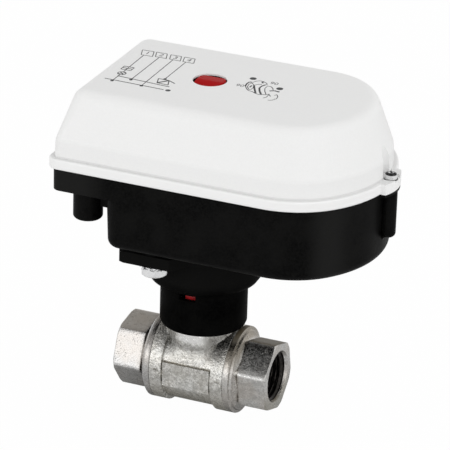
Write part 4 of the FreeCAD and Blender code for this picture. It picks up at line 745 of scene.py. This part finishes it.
def roundPlug(part, centre):
    profile = ((part.low, part.radius), (part.high - part.bevel, part.radius),
               (part.high, part.radius - part.bevel))
    return turnedRows(profile, centre, part.steps)


def castMarks(mark, bonnet):
    parts = [roundPlug(bonnet, (0, 0))]
    for side in (-1, 1):
        points, faces = roundPlug(mark, (side * mark.reach, mark.drop))
        parts.append(([(x, -height, z) for x, z, height in points], faces))
    return joinParts("castMarks", parts)


addPiece("valveCasting", buildBody(named(bodySet)), "castNickel", ["valve_body"])
addPiece("castMarks", castMarks(named(markSet), named(bonnetSet)), "castNickel")
print("valve casting made")


# adapter collar: the CAD shape with a recess behind its window, where the coupling's red flag turns

windowSet = {"low": 33.2, "high": 38.3, "inner": 11.5, "outer": 16.6, "steps": 120, "crease": 28}
flagSet = {"outer": 16.0, "inner": 12.0, "low": 35.3, "high": 38.1, "start": -96.0, "end": -58.0,
           "steps": 24}


def plainMesh(holder):
    graph = bpy.context.evaluated_depsgraph_get()
    return bpy.data.meshes.new_from_object(holder.evaluated_get(graph))


def hollowCollar(part):
    ring = turnedRows(tubeProfile(part), (0, 0), part.steps, ring=True)
    holder = placeObject("collarHolder", outwards(nodes["adapter_collar"].data.copy()))
    cutter = placeObject("collarCutter", outwards(meshFrom("collarCutter", *ring)))
    modifier = holder.modifiers.new("recess", "BOOLEAN")
    modifier.operation = "DIFFERENCE"
    modifier.solver = "EXACT"
    modifier.object = cutter
    plain = plainMesh(holder)
    for item in (holder, cutter):
        bpy.data.objects.remove(item)
    plain.name = "collar"
    return creaseByAngle(plain, part.crease)


def redFlag(part):
    turns = spreadTo(part.start, part.end, part.steps)
    points = [(*around((0, 0), radius, turn), height) for turn in turns
              for height, radius in tubeProfile(part)]
    return joinParts("redFlag", [(points, cappedFaces(len(turns), 4))])


addPiece("collar", hollowCollar(named(windowSet)), "blackAdapter",
         ["adapter_collar"])
addPiece("redFlag", redFlag(named(flagSet)), "redCoupling", body="output_train")


# adapter screws and their toothed lock washers

adapterSet = {"spots": ((-9.8, -30.0), (9.8, 30.0)), "hexWidth": 10.4, "corner": -67.0,
              "cornerBlend": 0.2, "cornerCut": 0.05, "headBottom": 50.8, "headTop": 54.2,
              "chamferRadius": 4.9, "chamferRise": 0.7, "chamferRows": 6, "chamferSlope": 1.2,
              "chamferBlend": 0.15, "sideFrom": 1.2, "sideTo": (0.5, 0.12), "shank": 2.98,
              "shankTop": 73.0, "faceRadius": 5.0, "faceStep": 0.2, "endRuns": (0.6, 0.1),
              "most": 9, "steps": 96}


def adapterHeads(part):
    def shape(height, radius, turn):
        if radius < part.most:
            return height, radius
        reach = min(hexReach(part, turn, part.corner), radius)
        cut = part.chamferRadius + (height - part.headBottom) * part.chamferSlope
        return height, blendMin(reach, cut, part.chamferBlend)

    low, top, most = part.headBottom, part.headTop, part.most
    heights = spreadTo(low, low + part.chamferRise, part.chamferRows)
    heights += [low + part.sideFrom] + [top - run for run in part.sideTo]
    profile = [(low, tiny)] + [(low, part.chamferRadius - run) for run in part.endRuns]
    profile += [(height, most) for height in heights]
    profile += [(top - tiny, part.faceRadius + part.faceStep), (top, part.faceRadius),
                (top, part.shank), (part.shankTop, part.shank)]
    return [turnedRows(profile, spot, part.steps, shape) for spot in part.spots]


addPiece("adapterBolts", joinParts("adapterBolts", adapterHeads(named(adapterSet))), "zincPlate",
         ["adapter_screws"])

washerSet = {"low": 54.25, "high": 54.85, "inner": 3.15, "outer": 4.6, "teeth": 12,
             "toothReach": 5.35, "toothSize": (1.6, 2.2, 0.55), "twist": 38.0, "lift": 0.15,
             "steps": 56}


def ringOfTeeth():
    # instances of one twisted tooth round a circle, joined to the ring that comes in
    tree, source, result = newGroup(
        "ringOfTeeth", {"Geometry": "Geometry", "Count": "Int", "Radius": "Float", "Size": "Vector",
                        "Twist": "Float", "Centre": "Vector", "Material": "Material"},
        {"Geometry": "Geometry"}, "GeometryNodeTree")
    circle = addNode(tree, "GeometryNodeMeshCircle", {"Vertices": source["Count"],
                                                      "Radius": source["Radius"]})[0]
    place = addNode(tree, "GeometryNodeSetPosition", {"Geometry": circle,
                                                      "Offset": source["Centre"]})[0]
    tooth = addNode(tree, "GeometryNodeMeshCube", {"Size": source["Size"]})["Mesh"]
    index = tree.nodes.new("GeometryNodeInputIndex").outputs[0]
    angle = times(tree, addMath(tree, "DIVIDE", index, source["Count"]), 2 * math.pi)
    turn = addNode(tree, "ShaderNodeCombineXYZ", {"X": source["Twist"], "Z": angle})[0]
    teeth = addNode(tree, "GeometryNodeInstanceOnPoints", {"Points": place, "Instance": tooth,
                                                           "Rotation": turn})[0]
    join = tree.nodes.new("GeometryNodeJoinGeometry")
    for geometry in (source["Geometry"], teeth):
        tree.links.new(geometry, join.inputs[0])
    real = addNode(tree, "GeometryNodeRealizeInstances", {0: join.outputs[0]})[0]
    paint = addNode(tree, "GeometryNodeSetMaterial", {"Geometry": real,
                                                      "Material": source["Material"]})[0]
    feed(tree, result, {0: paint})
    return tree


def runNodes(name, mesh, tree, values):
    # evaluates a node tree on a mesh once and gives back the plain mesh
    holder = placeObject(name + "Holder", mesh)
    modifier = holder.modifiers.new("nodes", "NODES")
    modifier.node_group = tree
    for item in tree.interface.items_tree:
        if item.in_out == "INPUT" and item.name in values:
            modifier[item.identifier] = values[item.name]
    plain = plainMesh(holder)
    holder.modifiers.remove(modifier)
    bpy.data.objects.remove(holder)
    plain.name = name
    return plain


def lockWashers(part, spots):
    tree, pieces = ringOfTeeth(), []
    middle = (part.low + part.high) / 2 + part.lift
    for x, y in spots:
        ring = turnedRows(tubeProfile(part), (x, y), part.steps, ring=True)
        pieces.append(runNodes("lockWasher", meshFrom("washerRing", *ring), tree, {
            "Count": part.teeth, "Radius": part.toothReach * mm,
            "Size": Vector(part.toothSize) * mm, "Twist": math.radians(part.twist),
            "Centre": ((stemX + x) * mm, y * mm, middle * mm),
            "Material": materials["zincPlate"]}))
    return mergeMeshes("lockWashers", pieces)


addPiece("adapterLockWashers", lockWashers(named(washerSet), adapterSet["spots"]), "zincPlate",
         ["adapter_lock_washers"])
print("adapter screws made")


# cover screws: bright heads with a cross recess, and a rim in near-black metal, painted shade for
# the recess round each head

coverScrewSet = {"spots": ((80.0, 0.0), (-52.6, 0.0)), "head": 2.6, "cap": 1.4, "capFrom": 0.03,
                 "capWall": 0.2, "rim": 2.4, "rimGap": 0.01, "overlap": 0.05, "foot": 2.85,
                 "low": 98.8, "footTop": 99.1, "shoulder": 100.8, "high": 102.1, "domePower": 2.2,
                 "crossWidth": 0.4, "crossReach": 1.2, "crossDepth": 1.2, "crossEdge": 0.12,
                 "crossFade": 0.45, "turn": 28.0, "shank": 1.49, "shankBottom": 86.8,
                 "capRings": 20, "rimRings": 8, "steps": 80}


def screwHeight(part, radius, turn):
    dome = part.high - (part.high - part.shoulder) * (radius / part.head) ** part.domePower
    across, along = (abs(value) for value in around((0, 0), radius, turn - part.turn))
    inside = max(min(part.crossWidth - across, part.crossReach - along),
                 min(part.crossWidth - along, part.crossReach - across))
    depth = part.crossDepth * (1 - part.crossFade * radius / part.head)
    return dome - clamp(inside / part.crossEdge + 0.5) * depth


def coverScrews(part):
    def dished(height, radius, turn):
        # a row without a height lies on the dome with its cross
        return (screwHeight(part, radius, turn) if height is None else height), radius

    inner, top = part.rim - part.overlap, part.shoulder + part.overlap
    cap = [(None, radius) for radius in spreadTo(part.capFrom, part.cap, part.capRings)]
    cap.append((part.low + part.capWall, part.cap))
    side = [(part.footTop, inner), (part.footTop, part.head), (top, part.head),
            (top + 2 * part.overlap, inner)]
    rim = [(None, radius)
           for radius in spreadTo(part.cap - part.rimGap, part.rim, part.rimRings)]
    rim += [(part.footTop, part.rim), (part.footTop, part.foot), (part.low, part.foot),
            (part.low, part.shank), (part.shankBottom, part.shank)]
    bright = [turnedRows(cap, spot, part.steps, dished) for spot in part.spots]
    bright += [turnedRows(side, spot, part.steps, ring=True) for spot in part.spots]
    return bright, [turnedRows(rim, spot, part.steps, dished) for spot in part.spots]


bright, dark = coverScrews(named(coverScrewSet))
addPiece("coverScrewDomes", joinParts("coverScrewDomes", bright), "zincPlate",
         ["cover_screws"])
addPiece("coverScrewRims", joinParts("coverScrewRims", dark), "screwRimShade")


# black lip of the base that shows under each ear of the cover

earLipSet = {"ends": ((80.2, 1), (-52.8, -1)), "reach": 3.0, "bow": 20.0, "turn": 26.0, "root": 2.0,
             "inset": 0.1, "squeeze": 0.985, "low": 93.7, "high": 94.98, "steps": 24}


def earLips(part):
    parts = []
    for end, side in part.ends:
        centre, root = end + side * (part.reach - part.bow), end - side * part.root
        outline = []
        for turn in spreadTo(-part.turn, part.turn, part.steps):
            x, y = around((0, 0), 1, turn)
            outline.append((centre + side * (part.bow - part.inset) * x,
                            part.bow * y * part.squeeze))
        outline += [(root, outline[-1][1]), (root, outline[0][1])]
        parts.append(slab(outline, part.low, part.high))
    return joinParts("earLips", parts)


addPiece("earLips", earLips(named(earLipSet)), "blackMoulding")


# turning indicator: a low gabled pointer on a disc, and a black ring round it, painted shade for
# the gap that it turns in

pointerSet = {"radius": 6.5, "face": 124.9, "faceBevel": (0.4, 0.12), "bottom": 121.1,
              "sleeve": 5.0, "sleeveBottom": 105.6, "pin": 3.36, "pinTop": 111.6, "crest": 127.05,
              "slope": 0.17, "farSlope": 0.04, "halfWidth": 5.2, "edge": 0.25, "flat": 0.35,
              "flatDrop": 0.05, "sunk": 0.3, "reach": 6.2, "clear": 6.75, "endRun": 0.5,
              "endDrop": 0.6, "lip": 8.6, "lipTop": 122.0, "ridgeRows": 28, "steps": 96}


def pointerRow(part, x):
    half = min(part.halfWidth, math.sqrt(part.clear ** 2 - x * x))
    crest = part.crest - max(abs(x) - (part.reach - part.endRun), 0) / part.endRun * part.endDrop
    foot, middle, edge = part.face - part.sunk, crest - part.flatDrop, part.edge
    near, far = part.slope, part.farSlope
    spots = ((-half - tiny, foot), (-half, crest - near * half - edge),
             (-half + edge, crest - near * (half - edge)),
             (-part.flat, middle), (part.flat, middle),
             (half - edge, crest - far * (half - edge)), (half, crest - far * half - edge),
             (half + tiny, foot))
    return [(x, y, height) for y, height in spots]


def buildPointer(part):
    face, bottom, radius, (bevel, middle) = part.face, part.bottom, part.radius, part.faceBevel
    profile = [(part.pinTop, tiny), (part.pinTop, part.pin), (part.sleeveBottom, part.pin),
               (part.sleeveBottom, part.sleeve), (bottom, part.sleeve), (bottom, part.lip),
               (part.lipTop, part.lip), (part.lipTop, radius), (face - bevel, radius),
               (face - middle, radius - middle), (face, radius - bevel), (face, tiny)]
    xs = spreadTo(-part.reach, part.reach, part.ridgeRows)
    ridge = [spot for x in xs for spot in pointerRow(part, x)]
    return joinParts("pointer", [turnedRows(profile, (0, 0), part.steps),
                                 (ridge, cappedFaces(len(xs), len(ridge) // len(xs)))])


addPiece("redPointer", buildPointer(named(pointerSet)), "redPointer",
         ["position_indicator"], "output_train")

# black ring inside the cover's hole: painted shade for the shadowed gap round the pointer
ringSet = {"outer": 7.12, "inner": 6.85, "low": 123.6, "high": 126.4, "steps": 96}
ringParts = turnedRows(tubeProfile(named(ringSet)), (0, 0), ringSet["steps"], ring=True)
addPiece("gapShadeRing", joinParts("gapShadeRing", [ringParts]), "blackMoulding")
print("screws and pointer made")


# print on the cover: a plain numbered terminal diagram and a drawing of the turning knob

printSet = {"level": 127.2, "thick": 0.012, "sink": 0.02, "stretch": 0.5, "dotSteps": 16,
            "lampSteps": 18, "curveSteps": 3,
            "widths": {"thin": 0.30, "line": 0.38, "rail": 0.40, "broad": 0.65, "blade": 0.68}}

# strokes are x, y, x, y and so on, by the name of their width
terminalSet = {
    "strokes": {
        "thin": ((-38.7, 19.0, -33.5, 19.2, -31.8, 13.7, -36.9, 13.6, -38.7, 19.0),
                 (-32.3, 19.2, -27.6, 19.4, -25.8, 14.2, -30.7, 14.2, -32.3, 19.2),
                 (-25.8, 19.1, -21.1, 19.3, -19.4, 14.1, -24.3, 14.3, -25.8, 19.1),
                 (-19.6, 19.2, -14.9, 19.2, -13.4, 14.1, -18.3, 14.2, -19.6, 19.2)),
        "line": ((-35.7, 13.6, -35.4, -1.4), (-35.3, -5.2, -35.2, -7.6),
                 (-35.2, -11.2, -35.3, -18.8), (-28.9, 14.0, -28.9, -14.6),
                 (-22.7, 14.0, -22.3, -18.6), (-16.9, 14.0, -16.8, -7.3),
                 (-37.6, -5.1, -33.2, -5.1, -33.2, -1.5, -37.6, -1.5, -37.6, -5.1),
                 (-37.6, -3.3, -33.2, -3.3), (-35.4, -5.1, -35.4, -1.5),
                 (-19.4, -8.0, -14.6, -8.2, -13.0, -13.0, -18.0, -12.6, -19.4, -8.0),
                 (-14.6, -8.2, -11.2, -10.2)),
        "rail": ((-35.6, -12.8, -11.7, -14.6), (-39.1, -17.6, -12.6, -18.4)),
        "blade": ((-18.0, -12.6, -14.6, -8.2),)},
    "dots": ((-35.3, -18.8, 0.75), (-28.9, -14.4, 0.75), (-22.3, -18.6, 0.75), (-16.8, -7.3, 0.75),
             (-10.6, -18.4, 1.1)),
    "lamps": ((-35.2, -9.4, 1.7),), "numberSize": 4.2,
    "numbers": (("1", -35.225, 16.375), ("2", -29.1, 16.75), ("3", -22.65, 16.7),
                ("4", -16.55, 16.675))}

knobSet = {
    "strokes": {
        "thin": ((15.2, 0.9, 16.9, -2.0, 18.5, -3.7, 20.2, -4.0, 22.3, -5.4, 24.0, -5.8, 26.8, -4.7,
                  27.6, -3.4),
                 (16.4, 0.3, 16.0, 2.9, 16.5, 4.7, 18.2, 3.0, 19.0, 0.3, 19.0, -2.2, 18.0, -2.4,
                  16.4, 0.3),
                 (16.5, 5.3, 17.3, 7.3, 18.5, 8.5, 20.4, 8.2, 22.2, 7.0, 22.9, 5.4),
                 (23.5, 3.9, 23.6, 1.4, 24.6, -1.2, 26.5, -4.5),
                 (23.3, 4.4, 25.1, 4.4, 26.5, 2.9, 27.2, 1.4), (18.6, 3.2, 19.7, 4.7, 20.9, 5.0),
                 (26.9, -8.6, 27.8, -7.2, 27.6, -4.0, 29.0, -5.7),
                 (30.0, -4.0, 30.5, -2.6, 31.8, -4.9, 32.1, -7.3, 31.3, -7.6),
                 (29.5, -10.0, 30.9, -9.3, 31.7, -8.0)),
        "broad": ((15.4, 0.4, 15.0, 3.3, 15.2, 5.3, 16.3, 5.5), (17.5, -0.1, 17.6, 2.1),
                  (18.3, 2.7, 19.8, -0.5, 22.1, -4.9),
                  (22.4, 5.5, 21.5, 3.5, 21.4, 0.9, 22.7, -2.1, 24.7, -5.4),
                  (26.3, -0.3, 28.0, 0.9, 30.4, 0.4), (19.9, 7.9, 20.6, 6.4))},
    "dots": ((15.1, 9.5, 1.45), (29.1, 3.9, 1.45)), "lamps": (), "numberSize": 3.6,
    "numbers": (("90", 13.3, -0.1), ("90", 24.9, 8.3))}


def chain(ink, spots, width):
    # flat ribbons from spot to spot, broader where they run along X
    parts = []
    for start, end in zip(spots, spots[1:]):
        along = Vector((end[0] - start[0], end[1] - start[1]))
        wider = 1 + ink.stretch * abs(along.x) / max(along.length, 0.001)
        x, y = Vector((-along.y, along.x)).normalized() * width * wider / 2
        corners = [(start[0] + x, start[1] + y), (end[0] + x, end[1] + y), (end[0] - x, end[1] - y),
                   (start[0] - x, start[1] - y)]
        parts.append(slab(corners, ink.level - ink.sink, ink.level + ink.thick))
    return parts


def numberMesh(ink, text, x, y, size):
    curve = bpy.data.curves.new("number" + text, "FONT")
    curve.body = text
    curve.size = size * mm
    curve.align_x = "CENTER"
    curve.align_y = "CENTER"
    curve.extrude = ink.thick / 2 * mm
    curve.resolution_u = ink.curveSteps
    holder = bpy.data.objects.new("number" + text, curve)
    mesh = bpy.data.meshes.new_from_object(holder)
    bpy.data.objects.remove(holder)
    mesh.transform(Matrix.Translation(Vector((stemX + x, y, ink.level + ink.thick / 2)) * mm))
    return mesh


def drawMark(ink, mark):
    parts = []
    for width, strokes in mark.strokes.items():
        for flat in strokes:
            parts += chain(ink, list(zip(flat[::2], flat[1::2])), ink.widths[width])
    for x, y, radius in mark.dots:
        outline = [around((x, y), radius, turn) for turn in spread(0, 360, ink.dotSteps)]
        parts.append(slab(outline, ink.level - ink.sink, ink.level + ink.thick))
    for x, y, radius in mark.lamps:
        ends = [[around((x, y), side * radius, turn) for side in (-1, 1)] for turn in (45, 135)]
        circle = [around((x, y), radius, turn) for turn in spreadTo(0, 360, ink.lampSteps)]
        for spots in [circle] + ends:
            parts += chain(ink, spots, ink.widths["line"])
    numbers = [numberMesh(ink, *number, mark.numberSize) for number in mark.numbers]
    return [joinParts("printLines", parts)] + numbers


prints = [mesh for mark in (terminalSet, knobSet)
          for mesh in drawMark(named(printSet), named(mark))]
addPiece("coverPrint", mergeMeshes("coverPrint", prints), "printInk")
print("print made")


print("scene ready")
